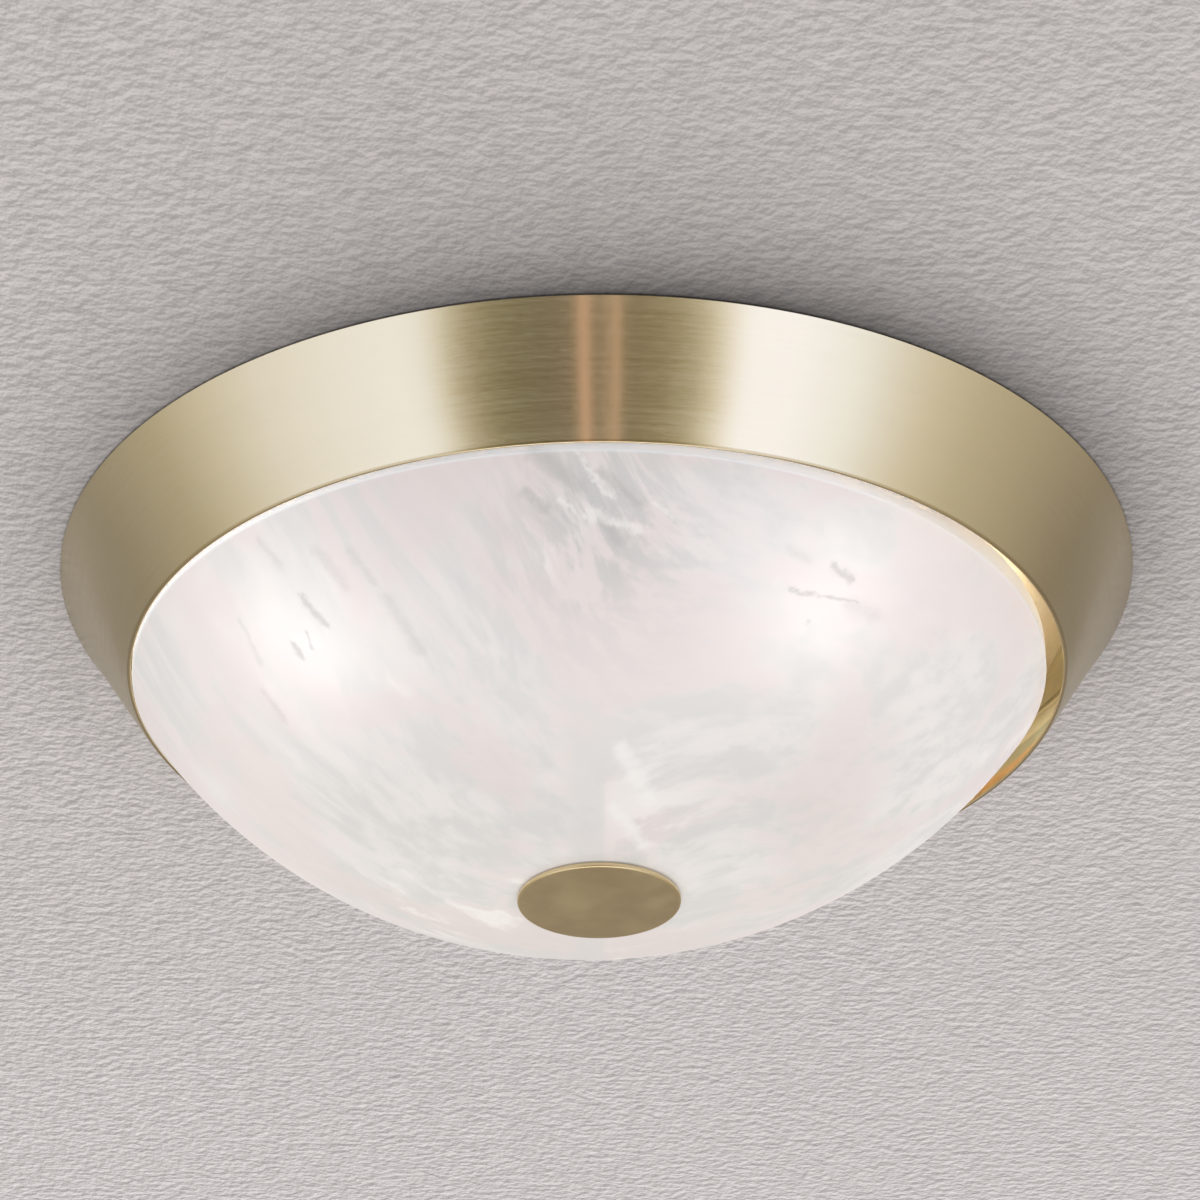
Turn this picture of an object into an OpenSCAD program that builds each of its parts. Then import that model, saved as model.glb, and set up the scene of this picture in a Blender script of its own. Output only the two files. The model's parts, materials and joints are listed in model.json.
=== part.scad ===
// Glass ceiling light: a spun brass ring, a glass bowl held by a screwed disc, and two bulbs inside.
// Millimetres. The origin is the middle of the ceiling face, and the light hangs down along -Z.

/* [Brass ring] */
// Outer radius where the ring meets the ceiling
pan_r = 200; // [190:1:215]
// Outer radius of the lip at the bottom of the ring
lip_r = 173.4; // [165:0.2:180]
// Height of the ring
pan_h = 42; // [38:0.5:52]
// Thickness of the ring's sheet
ring_t = 0.6; // [0.5:0.1:0.9]
// Height of the hem folded up inside the lip
hem_h = 6; // [4:0.5:9]
// Width of the narrow face that touches the ceiling
rim_w = 4; // [3:0.5:6]
// Drop from the ceiling to the riveted flange
flange_step = 1; // [0.9:0.1:2]
// Width of the riveted flange
flange_w = 12; // [10:0.5:14]
// Number of rivets that join the ring to the plate
rivet_count = 6; // [4:1:12]
// Radius of a rivet's shank
rivet_r = 1.6; // [1.2:0.1:2]
// Radius of a rivet's head
rivet_head_r = 3; // [2.4:0.1:3.4]
// Height of a rivet's head
rivet_head_h = 0.8; // [0.6:0.1:0.85]

/* [Back plate] */
// Thickness of the plate's sheet
plate_t = 1; // [0.8:0.1:1.5]
// Drop from the ceiling to the flat of the plate
plate_drop = 12; // [11:0.5:15]
// Width of the sloping wall between the flange and the flat
plate_slope = 8; // [5:0.5:12]
// Radius of the stiffening bead
bead_r = 150; // [140:1:158]
// Width of the stiffening bead
bead_w = 10; // [6:0.5:14]
// Height of the stiffening bead
bead_h = 2; // [1:0.25:3]

/* [Ceiling bar] */
// Length of the bar
bar_len = 184; // [176:1:200]
// Width of the bar
bar_w = 26; // [20:1:34]
// Thickness of the bar
bar_t = 2; // [1.5:0.1:2.5]
// Drop of the bar's ends, which makes room for the screw heads
bar_joggle = 3; // [2.8:0.1:4]
// Length of each joggled end
bar_end = 22; // [18:1:26]
// Distance between the middles of the two ceiling slots
slot_spacing = 90; // [80:1:96]
// End to end length of a slot
slot_len = 24; // [16:1:30]
// Width of a slot
slot_w = 5.2; // [4.6:0.1:6]
// Radius of the bar's centre hole
bar_hole_r = 6; // [5:0.5:8]
// Distance from an end of the bar to the hanging screw in it
stud_inset = 10; // [9:0.5:12]
// Radius of a hanging screw
stud_r = 2; // [1.5:0.25:2.5]
// Length of a hanging screw below its head
stud_len = 17; // [16:0.5:22]
// Radius of a hanging screw's head
stud_head_r = 3.8; // [3:0.1:4.5]
// Height of a hanging screw's head
stud_head_h = 2.4; // [1.8:0.1:2.6]
// Radius of the flange under a cap nut
cap_flange_r = 6; // [5:0.25:8]
// Distance across the flats of a cap nut
cap_nut_af = 8; // [7:0.25:10]
// Height of the hexagon of a cap nut
cap_nut_h = 5; // [4:0.25:7]

/* [Glass bowl] */
// Radius of the ball that the outside of the bowl follows
ball_r = 205.8; // [190:0.2:215]
// Drop from the ceiling to the outside of the bowl's flat bottom
bowl_drop = 127.05; // [118:0.05:140]
// Height of the straight band under the bowl's rim
rim_band = 8.1; // [5:0.05:11]
// Thickness of the glass
glass_t = 4; // [3:0.1:5]
// Radius of the flat at the bottom
bowl_flat_r = 27; // [25:0.5:32]
// Radius that blends the flat into the ball
blend_r = 80; // [50:1:110]
// Radius of the hole in the glass
bowl_hole_r = 12; // [11.8:0.1:13]
// How far the bowl hangs to one side of the rod
bowl_off = 3; // [2.5:0.05:4.6]
// Gap between the bowl and the lip on that side
bowl_gap = 0.35; // [0.3:0.05:1]
// Size of the ground edge on the rim
rim_bevel = 0.8; // [0.4:0.1:1.2]

/* [Rod and nuts] */
// Radius of the threaded rod
rod_r = 5; // [4.5:0.1:5.4]
// Radius of the bore along the rod
rod_bore_r = 3.4; // [2.5:0.1:3.6]
// Rise of the rod above the plate
rod_rise = 6; // [5.5:0.25:7]
// Depth of the thread grooves
thread_depth = 0.35; // [0.2:0.05:0.5]
// Rise of the rod's thread in one turn
thread_pitch = 1; // [0.75:0.25:1.5]
// Distance across the flats of a rod nut
rod_nut_af = 14; // [13:0.5:16]
// Height of a rod nut
rod_nut_h = 4; // [3:0.25:5]
// Thickness of a washer under a rod nut
rod_washer_t = 1; // [0.8:0.1:1.5]
// Radius of a washer under a rod nut
rod_washer_r = 10; // [9:0.25:12]
// Radius of the steel washer that the glass is clamped against
stop_washer_r = 19; // [18:0.5:22]
// Thickness of that steel washer
stop_washer_t = 1.5; // [1:0.1:2]
// Radius of the soft washer above the glass
seat_washer_r = 20; // [18.5:0.5:22]
// Thickness of the soft washer above the glass
seat_washer_t = 1.5; // [1:0.1:2.5]

/* [Finial] */
// Radius of the finial's disc
finial_r = 29.5; // [27:0.1:32]
// Thickness of the disc
finial_t = 2; // [1.8:0.1:3]
// Gap between the disc's edge and the glass
finial_gap = 0.3; // [0.2:0.05:0.6]
// Height of the crown at the disc's middle
finial_crown = 0.5; // [0.2:0.1:1]
// Radius of the rounded edge of the disc
finial_round = 0.6; // [0.3:0.1:0.8]
// Radius of the nut that is soldered to the disc
boss_r = 7; // [6.4:0.1:7.2]
// Length of rod that the finial's nut grips
grip_len = 4.7; // [4:0.1:5]
// Radius of the soft washer in the disc
finial_washer_r = 21; // [19:0.5:23]
// Depth of the recess for that washer
finial_recess = 0.9; // [0.6:0.1:1.1]

/* [Lampholders] */
// Turn of the pair of lamps about the rod
lamp_turn = -4.4; // [-15:0.1:15]
// Drop from the ceiling to the middle of the lamps
lamp_drop = 44; // [42:0.5:47]
// Thickness of the bracket's strip
bracket_t = 1.5; // [1.2:0.1:2]
// Distance from the rod's middle to the back of each holder
bracket_half = 16; // [15:0.5:18]
// Width of the bracket
bracket_w = 30; // [26:1:32]
// Length of the bracket's legs below the middle of the lamps
bracket_foot = 14; // [13:0.5:18]
// Outer radius of a holder
holder_r = 19.5; // [18.5:0.1:20.5]
// Length of a holder
holder_len = 40; // [38:0.5:42]
// Thickness of a holder's floor
holder_floor = 12; // [11:0.5:13]
// Radius of a holder's mouth
mouth_r = 16; // [15.6:0.1:16.8]
// Depth of a holder's mouth
mouth_depth = 5; // [3:0.5:7]
// Radius of a holder screw
holder_screw_r = 2; // [1.5:0.25:2.25]
// Distance between the two screws of a holder
holder_screw_gap = 20; // [18:1:24]
// Depth of a holder screw in the holder
holder_screw_grip = 8; // [6:0.5:9]
// Sheet thickness of the screw shell
shell_t = 0.45; // [0.3:0.05:0.5]

/* [Bulbs] */
// Outer radius of the bulb's thread
cap_r = 13.1; // [12.8:0.05:13.3]
// Depth of the bulb's thread
cap_thread = 0.7; // [0.4:0.1:1]
// Rise of the bulb's thread in one turn
cap_pitch = 3.629; // [3.2:0.1:4]
// Length of the bulb's metal cap with its tip
cap_len = 25; // [24:0.5:26]
// Gap between the bulb's thread and the screw shell
cap_gap = 0.3; // [0.25:0.05:0.5]
// Gap between the floor of the holder and the tip of the bulb
tip_gap = 3; // [2.5:0.25:4]
// Radius of the bulb's contact button
tip_r = 4.5; // [4:0.25:6]
// Thickness of the contact button
tip_t = 1.5; // [1:0.1:2]
// Radius of the bulb's dome
dome_r = 26; // [24:0.5:27]
// Distance from the tip of the bulb to the middle of its dome
dome_mid = 62; // [58:0.5:63]
// How far below its middle the dome starts
dome_cut = 8; // [6:0.5:10]
// Thickness of the dome's wall
dome_t = 1.2; // [1:0.1:1.6]
// Radius of the neck of the bulb's housing
neck_r = 14.4; // [13.8:0.1:15]

/* [Terminal block and wires] */
// Distance between neighbouring poles
pole_pitch = 10; // [10:0.5:12]
// Length of the block along its wires
block_len = 17; // [16:0.5:20]
// Height of the block
block_h = 14; // [13:0.5:16]
// Distance from the lamps' line to the middle of the block
block_y = 62; // [60:1:66]
// Distance from the rod to the middle of the block
block_x = 48; // [46:1:50]
// Radius of the brass sleeve in a pole
sleeve_r = 3.3; // [3:0.1:3.6]
// Radius of the bore of the sleeve
sleeve_bore_r = 2.6; // [2.5:0.1:2.8]
// Radius of a terminal screw
pole_screw_r = 1.8; // [1.4:0.1:2.1]
// Radius of an insulated wire
wire_r = 1.1; // [0.9:0.05:1.15]
// Radius of the cable hole in the grommet
inlet_r = 4.5; // [3.5:0.25:5.5]
// Radius of the neck of the grommet
grommet_r = 7; // [6.5:0.25:8]
// Radius of the grommet's flanges
grommet_flange_r = 9.5; // [9:0.25:11]
// Height of the grommet
grommet_h = 7; // [6:0.25:8]
// Distance from the lamps' line to the cable hole
inlet_y = 98; // [94:1:104]

/* [Hidden] */

// Facets of large, medium and small round shapes
big = 160;
mid = 64;
small = 32;
// Clearances: a screw in its hole, a running fit, and a cut that passes right through a face
slack = 0.2;
run_fit = 0.06;
past = 1;

// Ring: slope of the wall, its thickness measured level, and where the flange lies
wall_slope = (pan_r - lip_r) / pan_h;
wall_w = ring_t * sqrt(1 + wall_slope * wall_slope);
lip_in_r = lip_r - 2 * wall_w;
flange_out_r = pan_r - rim_w - flange_step;
flange_in_r = flange_out_r - flange_w;
flange_z = -flange_step - ring_t;
rivet_line_r = flange_out_r - flange_w / 2;

// Plate: its flange lies under the ring's flange
plate_r = flange_out_r - ring_t;
plate_flat_r = flange_in_r - plate_slope;
plate_top_z = -plate_drop;
plate_z = plate_top_z - plate_t;

// Ceiling bar: its ends are joggled down
bar_end_z = -bar_joggle;
stud_spacing = bar_len - 2 * stud_inset;
stud_end_z = bar_end_z - stud_len;
cap_washer_t = 0.8;

// Bowl: middle of the ball, angles of the arcs and the rim
bowl_r = lip_in_r - bowl_off - bowl_gap;
bowl_z = -bowl_drop;
bowl_in_z = bowl_z + glass_t;
ball_z = bowl_z + blend_r + sqrt(pow(ball_r - blend_r, 2) - bowl_flat_r * bowl_flat_r);
blend_angle = asin(bowl_flat_r / (ball_r - blend_r));
rim_angle = asin(bowl_r / ball_r);
rim_z = ball_z - ball_r * cos(rim_angle) + rim_band;
rim_in_angle = asin((bowl_r - glass_t) / (ball_r - glass_t));
arc_steps = 14;

// Stack on the rod, from the glass upwards, and the finial below the glass
seat_z = bowl_in_z;
stop_z = seat_z + seat_washer_t;
stop_nut_z = stop_z + stop_washer_t;
finial_top_z = bowl_z - finial_gap;
finial_z = finial_top_z - finial_t;
recess_z = finial_top_z - finial_recess;
rod_end_gap = 0.3;
boss_floor_z = recess_z;
rod_end_z = boss_floor_z + rod_end_gap;
boss_top_z = rod_end_z + grip_len;
rod_top_z = plate_top_z + rod_rise;
top_nut_z = plate_top_z + rod_washer_t;

// Lamps: places along a lamp's own axis, from the back of its holder
lamp_z = -lamp_drop;
bracket_z = plate_z - bracket_t;
lock_nut_z = bracket_z - rod_nut_h;
tip_h = holder_floor + tip_gap;
shell_in_r = cap_r + cap_gap;
shell_wave = cap_thread * 0.6;
shell_out_r = shell_in_r + shell_wave + shell_t;
holder_bore_r = shell_out_r + slack;
shell_top_h = holder_len - mouth_depth;
wire_hole_h = holder_floor / 2;
wire_hole_y = 8;
wire_hole_deep = 9;
wire_hole_r = wire_r + 0.5;
holder_head_r = 3.5;
holder_head_h = 2.4;
insulator_len = 3.5;
housing_start = cap_len;
dome_start = dome_mid - dome_cut;
dome_base_r = sqrt(dome_r * dome_r - dome_cut * dome_cut);
board_t = 1.6;
board_r = dome_base_r - dome_t - 1;
chip_count = 8;
chip_ring_r = board_r * 0.65;
chip_size = 3;
chip_h = 0.7;

// Terminal block: its wires lie this far below the plate
pole_drop = 5;
pole_z = plate_z - pole_drop;
block_w = 3 * pole_pitch;
block_base_h = 9.5;
tower_r = 3.9;
tower_gap = block_len / 2;
pole_screw_h = 3;
block_nut_af = 4.4;
block_nut_h = 2;
earth_nut_af = 7;
earth_nut_h = 3.2;
thread_end = 1;

// Earth tag and the clip of the wires
earth_x = 1.63 * block_x;
earth_y = 0.64 * block_y;
tag_t = 0.8;
strap_w = 3.6;
strap_len = 8;
barrel_z = plate_z - wire_r - 0.9;
barrel_len = 7;
barrel_x = earth_x - strap_len - barrel_len + 3;
barrel_wall = 0.5;
clip_x = 0.08 * block_x;
clip_y = 0.42 * block_y;
clip_turn = 15;
clip_w = 9;
clip_len = 5;
clip_h = 3.6;
clip_foot = 3;
clip_t = 1;

// Wires: half the gap of a pair in one pole, the gap to the plate, and how finely they bend
wire_pair = 1.25;
wire_z = plate_z - wire_r - 0.3;
route_steps = 3;
wire_sides = 8;

// Ends of a wire: in a pole of the block, and in a hole of a holder
function from_pole(pole, shift) = [for (part = [0.12, 0.59])
  [block_x + pole * pole_pitch + shift, block_y - part * block_len, pole_z]];
function into_holder(side, across) = [for (rise = [1.23, 0.92, 0.61])
  [side * (bracket_half + wire_hole_h), across, lamp_z + rise * holder_r]];

// A place on a wire's way: parts of the block's distances, and its drop in radii of the wire
function way(along, across, drop = 0) =
  [along * block_x, across * block_y, wire_z - drop * wire_r];

// Routes of the wires between their ends, in the frame of the lamps
live_right_route = concat(from_pole(-1, wire_pair),
  [way(0.8, 0.71, 3.5), way(0.76, 0.56, 3.3), way(0.65, 0.42, 1.5), way(0.53, 0.27),
  way(0.47, 0.18, 1.5)], into_holder(1, wire_hole_y));
live_left_route = concat(from_pole(-1, -wire_pair),
  [way(0.71, 0.73, 1.5), way(0.46, 0.61), way(0.08, 0.45), way(-0.29, 0.39), way(-0.56, 0.24),
  way(-0.67, 0.06), way(-0.58, -0.08), way(-0.48, -0.13, 1.5)], into_holder(-1, -wire_hole_y));
neutral_right_route = concat(from_pole(0, wire_pair),
  [way(1.01, 0.69, 1.6), way(0.9, 0.5), way(0.77, 0.29), way(0.69, 0.08), way(0.58, -0.08),
  way(0.48, -0.13, 1.5)], into_holder(1, -wire_hole_y));
neutral_left_route = concat(from_pole(0, -wire_pair),
  [way(0.93, 0.71, 0.9), way(0.77, 0.6), way(0.46, 0.5), way(0.08, 0.39), way(-0.17, 0.33),
  way(-0.38, 0.25), way(-0.46, 0.18, 1.5)], into_holder(-1, wire_hole_y));
earth_route = concat(from_pole(1, 0),
  [way(1.23, 0.73, 1.8), [barrel_x - 4, earth_y + 1, barrel_z], [barrel_x, earth_y, barrel_z],
  [barrel_x + barrel_len / 2, earth_y, barrel_z]]);

// Points of an arc about a middle, with angles from straight down
function arc(middle_r, middle_z, radius, from, to, steps) =
  [for (i = [0:steps]) let (a = from + (to - from) * i / steps)
    [middle_r + radius * sin(a), middle_z - radius * cos(a)]];
function turned_about(list) = [for (i = [len(list) - 1:-1:0]) list[i]];

// Radius of a rounded thread at a place along it
function wave(place, pitch, low, high) = low + (high - low) * (1 - cos(360 * place / pitch)) / 2;

// Smooth curve through a route's own points
function pick(route, i) = route[max(0, min(len(route) - 1, i))];
function between(a, b, c, d, t) =
  0.5 * (2 * b + (c - a) * t + (2 * a - 5 * b + 4 * c - d) * t * t
  + (3 * b - a - 3 * c + d) * t * t * t);
function smooth_route(route) = [
  for (i = [0:len(route) - 2]) for (k = [0:route_steps - 1])
    between(pick(route, i - 1), route[i], route[i + 1], pick(route, i + 2), k / route_steps),
  route[len(route) - 1]];
function unit(v) = v / norm(v);
function heading(path, i) = unit(path[min(len(path) - 1, i + 1)] - path[max(0, i - 1)]);
function carried(v, along) = unit(v - (v * along) * along);
function sides_of(path, i, v) =
  i == len(path) ? [] : let (w = carried(v, heading(path, i))) concat([w], sides_of(path, i + 1, w));

// A wire as one closed tube swept along its route
module swept_wire(route) {
  path = smooth_route(route);
  side = sides_of(path, 0, [1, 0, 0]);
  rings = len(path);
  points = [for (i = [0:rings - 1]) let (u = side[i], v = cross(heading(path, i), u))
    for (k = [0:wire_sides - 1]) let (a = 360 * k / wire_sides)
      path[i] + wire_r * (cos(a) * u + sin(a) * v)];
  skin = [for (i = [0:rings - 2]) for (k = [0:wire_sides - 1])
    let (n = (k + 1) % wire_sides, p = i * wire_sides)
      [p + k, p + wire_sides + k, p + wire_sides + n, p + n]];
  start = [[for (k = [0:wire_sides - 1]) k]];
  finish = [[for (k = [wire_sides - 1:-1:0]) (rings - 1) * wire_sides + k]];
  polyhedron(points, concat(skin, start, finish));
}

// The frame of the lamps, and a lamp's own axis, with +Z pointing out of the holder
module lamps() rotate([0, 0, lamp_turn]) children();
module lamp(side) lamps() translate([side * bracket_half, 0, lamp_z]) rotate([0, side * 90, 0])
  children();

// Two places on opposite sides of the rod, across the lamps
module at_studs() for (s = [-1, 1]) translate([0, s * stud_spacing / 2, 0]) children();
module at_rivets() for (i = [0:rivet_count - 1]) rotate([0, 0, 360 * (i + 0.5) / rivet_count])
  translate([rivet_line_r, 0, 0]) children();
module at_poles() for (i = [-1:1]) translate([block_x + i * pole_pitch, block_y, 0]) children();

// A flat washer and a plain hexagon nut that stand on z = 0
module washer(outer, inner, height) difference() {
  cylinder(r = outer, h = height, $fn = mid);
  translate([0, 0, -past]) cylinder(r = inner, h = height + 2 * past, $fn = mid);
}
module hex_nut(across, inner, height) difference() {
  intersection() {
    cylinder(d = across / cos(30), h = height, $fn = 6);
    rotate_extrude($fn = mid) polygon([[0, 0], [across / 2, 0], [across * 0.578, height * 0.15],
      [across * 0.578, height * 0.85], [across / 2, height], [0, height]]);
  }
  translate([0, 0, -past]) cylinder(r = inner, h = height + 2 * past, $fn = mid);
}
module slot_cut(length, width, height) linear_extrude(height) union() {
  square([width, length - width], center = true);
  for (s = [-1, 1]) translate([0, s * (length - width) / 2]) circle(d = width, $fn = small);
}
// A pan head with a straight slot, its top up, standing on z = 0
module slotted_head(radius, height) difference() {
  rotate_extrude($fn = small) polygon([[0, 0], [radius, 0], [radius, height * 0.6],
    [radius * 0.8, height], [0, height]]);
  translate([-radius - past, -radius * 0.12, height * 0.55])
    cube([2 * (radius + past), radius * 0.24, height]);
}

module pan_ring() color("#d8c899") difference() {
  rotate_extrude($fn = big) polygon([
    [pan_r - rim_w, 0], [pan_r, 0], [lip_r, -pan_h], [lip_in_r, -pan_h],
    [lip_in_r + wall_slope * hem_h, -pan_h + hem_h],
    [lip_in_r + wall_slope * hem_h + wall_w, -pan_h + hem_h],
    [pan_r - wall_slope * ring_t - wall_w, -ring_t], [pan_r - rim_w - ring_t / 2, -ring_t],
    [flange_out_r - ring_t / 2, flange_z], [flange_in_r, flange_z],
    [flange_in_r, -flange_step], [flange_out_r, -flange_step]]);
  at_rivets() translate([0, 0, flange_z - past])
    cylinder(r = rivet_r + slack / 2, h = ring_t + 2 * past, $fn = small);
}

module back_plate() color("#b09a64") difference() {
  rotate_extrude($fn = big) polygon([
    [0, plate_top_z], [bead_r - bead_w / 2, plate_top_z], [bead_r - bead_w / 4, plate_top_z + bead_h],
    [bead_r + bead_w / 4, plate_top_z + bead_h], [bead_r + bead_w / 2, plate_top_z],
    [plate_flat_r, plate_top_z], [flange_in_r, flange_z], [plate_r, flange_z],
    [plate_r, flange_z - plate_t], [flange_in_r + plate_t, flange_z - plate_t],
    [plate_flat_r + plate_t, plate_z], [bead_r + bead_w / 2, plate_z],
    [bead_r + bead_w / 4, plate_z + bead_h], [bead_r - bead_w / 4, plate_z + bead_h],
    [bead_r - bead_w / 2, plate_z], [0, plate_z]]);
  translate([0, 0, plate_z - past]) {
    cylinder(r = rod_r + slack, h = plate_t + 2 * past, $fn = small);
    at_studs() cylinder(r = stud_r + 1.5 * slack, h = plate_t + 2 * past, $fn = small);
    lamps() {
      translate([block_x, inlet_y, 0]) cylinder(r = grommet_r, h = plate_t + 2 * past, $fn = mid);
      translate([block_x - pole_pitch / 2, block_y, 0])
        cylinder(r = pole_screw_r + slack, h = plate_t + 2 * past, $fn = small);
      translate([earth_x, earth_y, 0])
        cylinder(r = stud_r + slack, h = plate_t + 2 * past, $fn = small);
    }
  }
  at_rivets() translate([0, 0, flange_z - plate_t - past])
    cylinder(r = rivet_r + slack / 2, h = plate_t + 2 * past, $fn = small);
}

module ring_rivets() color("silver") at_rivets() {
  translate([0, 0, flange_z - plate_t - rivet_head_h])
    cylinder(r = rivet_r, h = rivet_head_h * 2 + plate_t + ring_t, $fn = small);
  translate([0, 0, -flange_step]) cylinder(r1 = rivet_head_r, r2 = rivet_head_r * 0.7,
    h = rivet_head_h, $fn = small);
  translate([0, 0, flange_z - plate_t - rivet_head_h])
    cylinder(r1 = rivet_head_r * 0.7, r2 = rivet_head_r, h = rivet_head_h, $fn = small);
}

// Side view of the bar: a flat middle and two joggled ends, drawn as [along, height]
module bar_side() {
  flat = bar_len / 2 - bar_end - bar_joggle;
  polygon([[-flat, 0], [flat, 0], [flat + bar_joggle, bar_end_z], [bar_len / 2, bar_end_z],
    [bar_len / 2, bar_end_z - bar_t], [flat + bar_joggle - bar_t * 0.4, bar_end_z - bar_t],
    [flat - bar_t * 0.4, -bar_t], [-flat + bar_t * 0.4, -bar_t],
    [-flat - bar_joggle + bar_t * 0.4, bar_end_z - bar_t], [-bar_len / 2, bar_end_z - bar_t],
    [-bar_len / 2, bar_end_z], [-flat - bar_joggle, bar_end_z]]);
}

module ceiling_bar() color("lightgray") difference() {
  translate([-bar_w / 2, 0, 0]) rotate([90, 0, 90]) linear_extrude(bar_w) bar_side();
  translate([0, 0, -bar_t - past]) {
    cylinder(r = bar_hole_r, h = bar_t + 2 * past, $fn = mid);
    for (s = [-1, 1]) translate([0, s * slot_spacing / 2, 0])
      slot_cut(slot_len, slot_w, bar_t + 2 * past);
  }
  at_studs() translate([0, 0, bar_end_z - bar_t - past])
    cylinder(r = stud_r + slack / 2, h = bar_t + 2 * past, $fn = small);
}

module bar_screws() color("silver") at_studs() {
  translate([0, 0, bar_end_z]) slotted_head(stud_head_r, stud_head_h);
  translate([0, 0, stud_end_z]) cylinder(r = stud_r, h = stud_len, $fn = small);
}

module stud_washers() color("silver") at_studs() translate([0, 0, plate_z - cap_washer_t])
  washer(cap_flange_r + 1, stud_r + slack, cap_washer_t);

// Cap nuts: a flange, a hexagon and a dome, bored from above and closed below
module cap_nuts() color("#c8b070") at_studs() translate([0, 0, plate_z - cap_washer_t]) difference() {
  union() {
    translate([0, 0, -1]) cylinder(r = cap_flange_r, h = 1, $fn = mid);
    translate([0, 0, -cap_nut_h]) cylinder(d = cap_nut_af / cos(30), h = cap_nut_h, $fn = 6);
    intersection() {
      translate([0, 0, -cap_nut_h]) sphere(r = cap_nut_af / 2, $fn = small);
      translate([0, 0, -cap_nut_h - cap_nut_af]) cylinder(r = cap_nut_af, h = cap_nut_af, $fn = small);
    }
  }
  translate([0, 0, -cap_nut_h - cap_nut_af * 0.2])
    cylinder(r = stud_r + slack / 2, h = cap_nut_h + cap_nut_af * 0.2 + past, $fn = small);
}

module cable_grommet() color("#303030") lamps() translate([block_x, inlet_y, plate_z + plate_t / 2])
  difference() {
    union() {
      translate([0, 0, -grommet_h / 2]) cylinder(r = grommet_r, h = grommet_h, $fn = mid);
      for (s = [-1, 1]) translate([0, 0, s * (plate_t / 2 + (grommet_h - plate_t) / 4)])
        cylinder(r = grommet_flange_r, h = (grommet_h - plate_t) / 2, center = true, $fn = mid);
    }
    translate([0, 0, -grommet_h / 2 - past])
      cylinder(r = inlet_r, h = grommet_h + 2 * past, $fn = mid);
  }

// Threaded rod: the grooves stand in for the thread at both ends
module centre_rod() color("silver") difference() {
  translate([0, 0, rod_end_z]) rotate_extrude($fn = mid) {
    length = rod_top_z - rod_end_z;
    polygon([[0, 0], [rod_r - thread_depth, 0], [rod_r, thread_depth], [rod_r, length - thread_depth],
      [rod_r - thread_depth, length], [0, length]]);
  }
  translate([0, 0, rod_end_z - past])
    cylinder(r = rod_bore_r, h = rod_top_z - rod_end_z + 2 * past, $fn = mid);
  for (i = [0:5]) translate([0, 0, stop_nut_z + rod_nut_h + 2 + 2 * i * thread_pitch])
    washer(rod_r + past, rod_r - thread_depth, thread_pitch / 2);
}

module rod_top_nut() color("silver") translate([0, 0, top_nut_z])
  hex_nut(rod_nut_af, rod_r + run_fit, rod_nut_h);
module rod_top_washer() color("silver") translate([0, 0, plate_top_z])
  washer(rod_washer_r, rod_r + slack, rod_washer_t);
module rod_lock_nut() color("silver") translate([0, 0, lock_nut_z])
  hex_nut(rod_nut_af, rod_r + run_fit, rod_nut_h);
module glass_stop_nut() color("silver") translate([0, 0, stop_nut_z])
  hex_nut(rod_nut_af, rod_r + run_fit, rod_nut_h);
module glass_stop_washer() color("silver") translate([0, 0, stop_z])
  washer(stop_washer_r, rod_r + slack, stop_washer_t);
module upper_seat_washer() color("gainsboro") translate([0, 0, seat_z])
  washer(seat_washer_r, rod_r + run_fit, seat_washer_t);

// Bracket: a strip bent down at both ends, with a holder screwed to each leg
module lamp_bracket() color("lightgray") lamps() difference() {
  translate([0, bracket_w / 2, 0]) rotate([90, 0, 0]) linear_extrude(bracket_w) polygon([
    [-bracket_half, plate_z], [bracket_half, plate_z],
    [bracket_half, lamp_z - bracket_foot], [bracket_half - bracket_t, lamp_z - bracket_foot],
    [bracket_half - bracket_t, bracket_z], [bracket_t - bracket_half, bracket_z],
    [bracket_t - bracket_half, lamp_z - bracket_foot], [-bracket_half, lamp_z - bracket_foot]]);
  translate([0, 0, bracket_z - past])
    cylinder(r = rod_r + slack, h = bracket_t + 2 * past, $fn = small);
  for (s = [-1, 1]) translate([-bracket_half - past, s * holder_screw_gap / 2, lamp_z])
    rotate([0, 90, 0]) cylinder(r = holder_screw_r + slack, h = 2 * (bracket_half + past), $fn = small);
}

// Porcelain holder: a thick floor with screw and wire holes, and a bore for the screw shell
module holder_body(side) color("ivory") lamp(side) difference() {
  rotate_extrude($fn = mid) polygon([
    [0, 0], [holder_r - 2, 0], [holder_r, 2], [holder_r, holder_floor - 1],
    [holder_r - 1, holder_floor], [holder_r - 1, holder_floor + 2], [holder_r, holder_floor + 3],
    [holder_r, holder_len - 1.5], [holder_r - 1.5, holder_len], [mouth_r, holder_len],
    [mouth_r, shell_top_h], [holder_bore_r, shell_top_h], [holder_bore_r, holder_floor],
    [0, holder_floor]]);
  for (s = [-1, 1]) {
    translate([0, s * holder_screw_gap / 2, -past])
      cylinder(r = holder_screw_r + slack, h = holder_screw_grip + 2 * past, $fn = small);
    translate([-side * (holder_r - wire_hole_deep), s * wire_hole_y, wire_hole_h])
      rotate([0, -side * 90, 0]) cylinder(r = wire_hole_r, h = wire_hole_deep + past, $fn = small);
  }
}
module left_holder_body() holder_body(-1);
module right_holder_body() holder_body(1);

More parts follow.
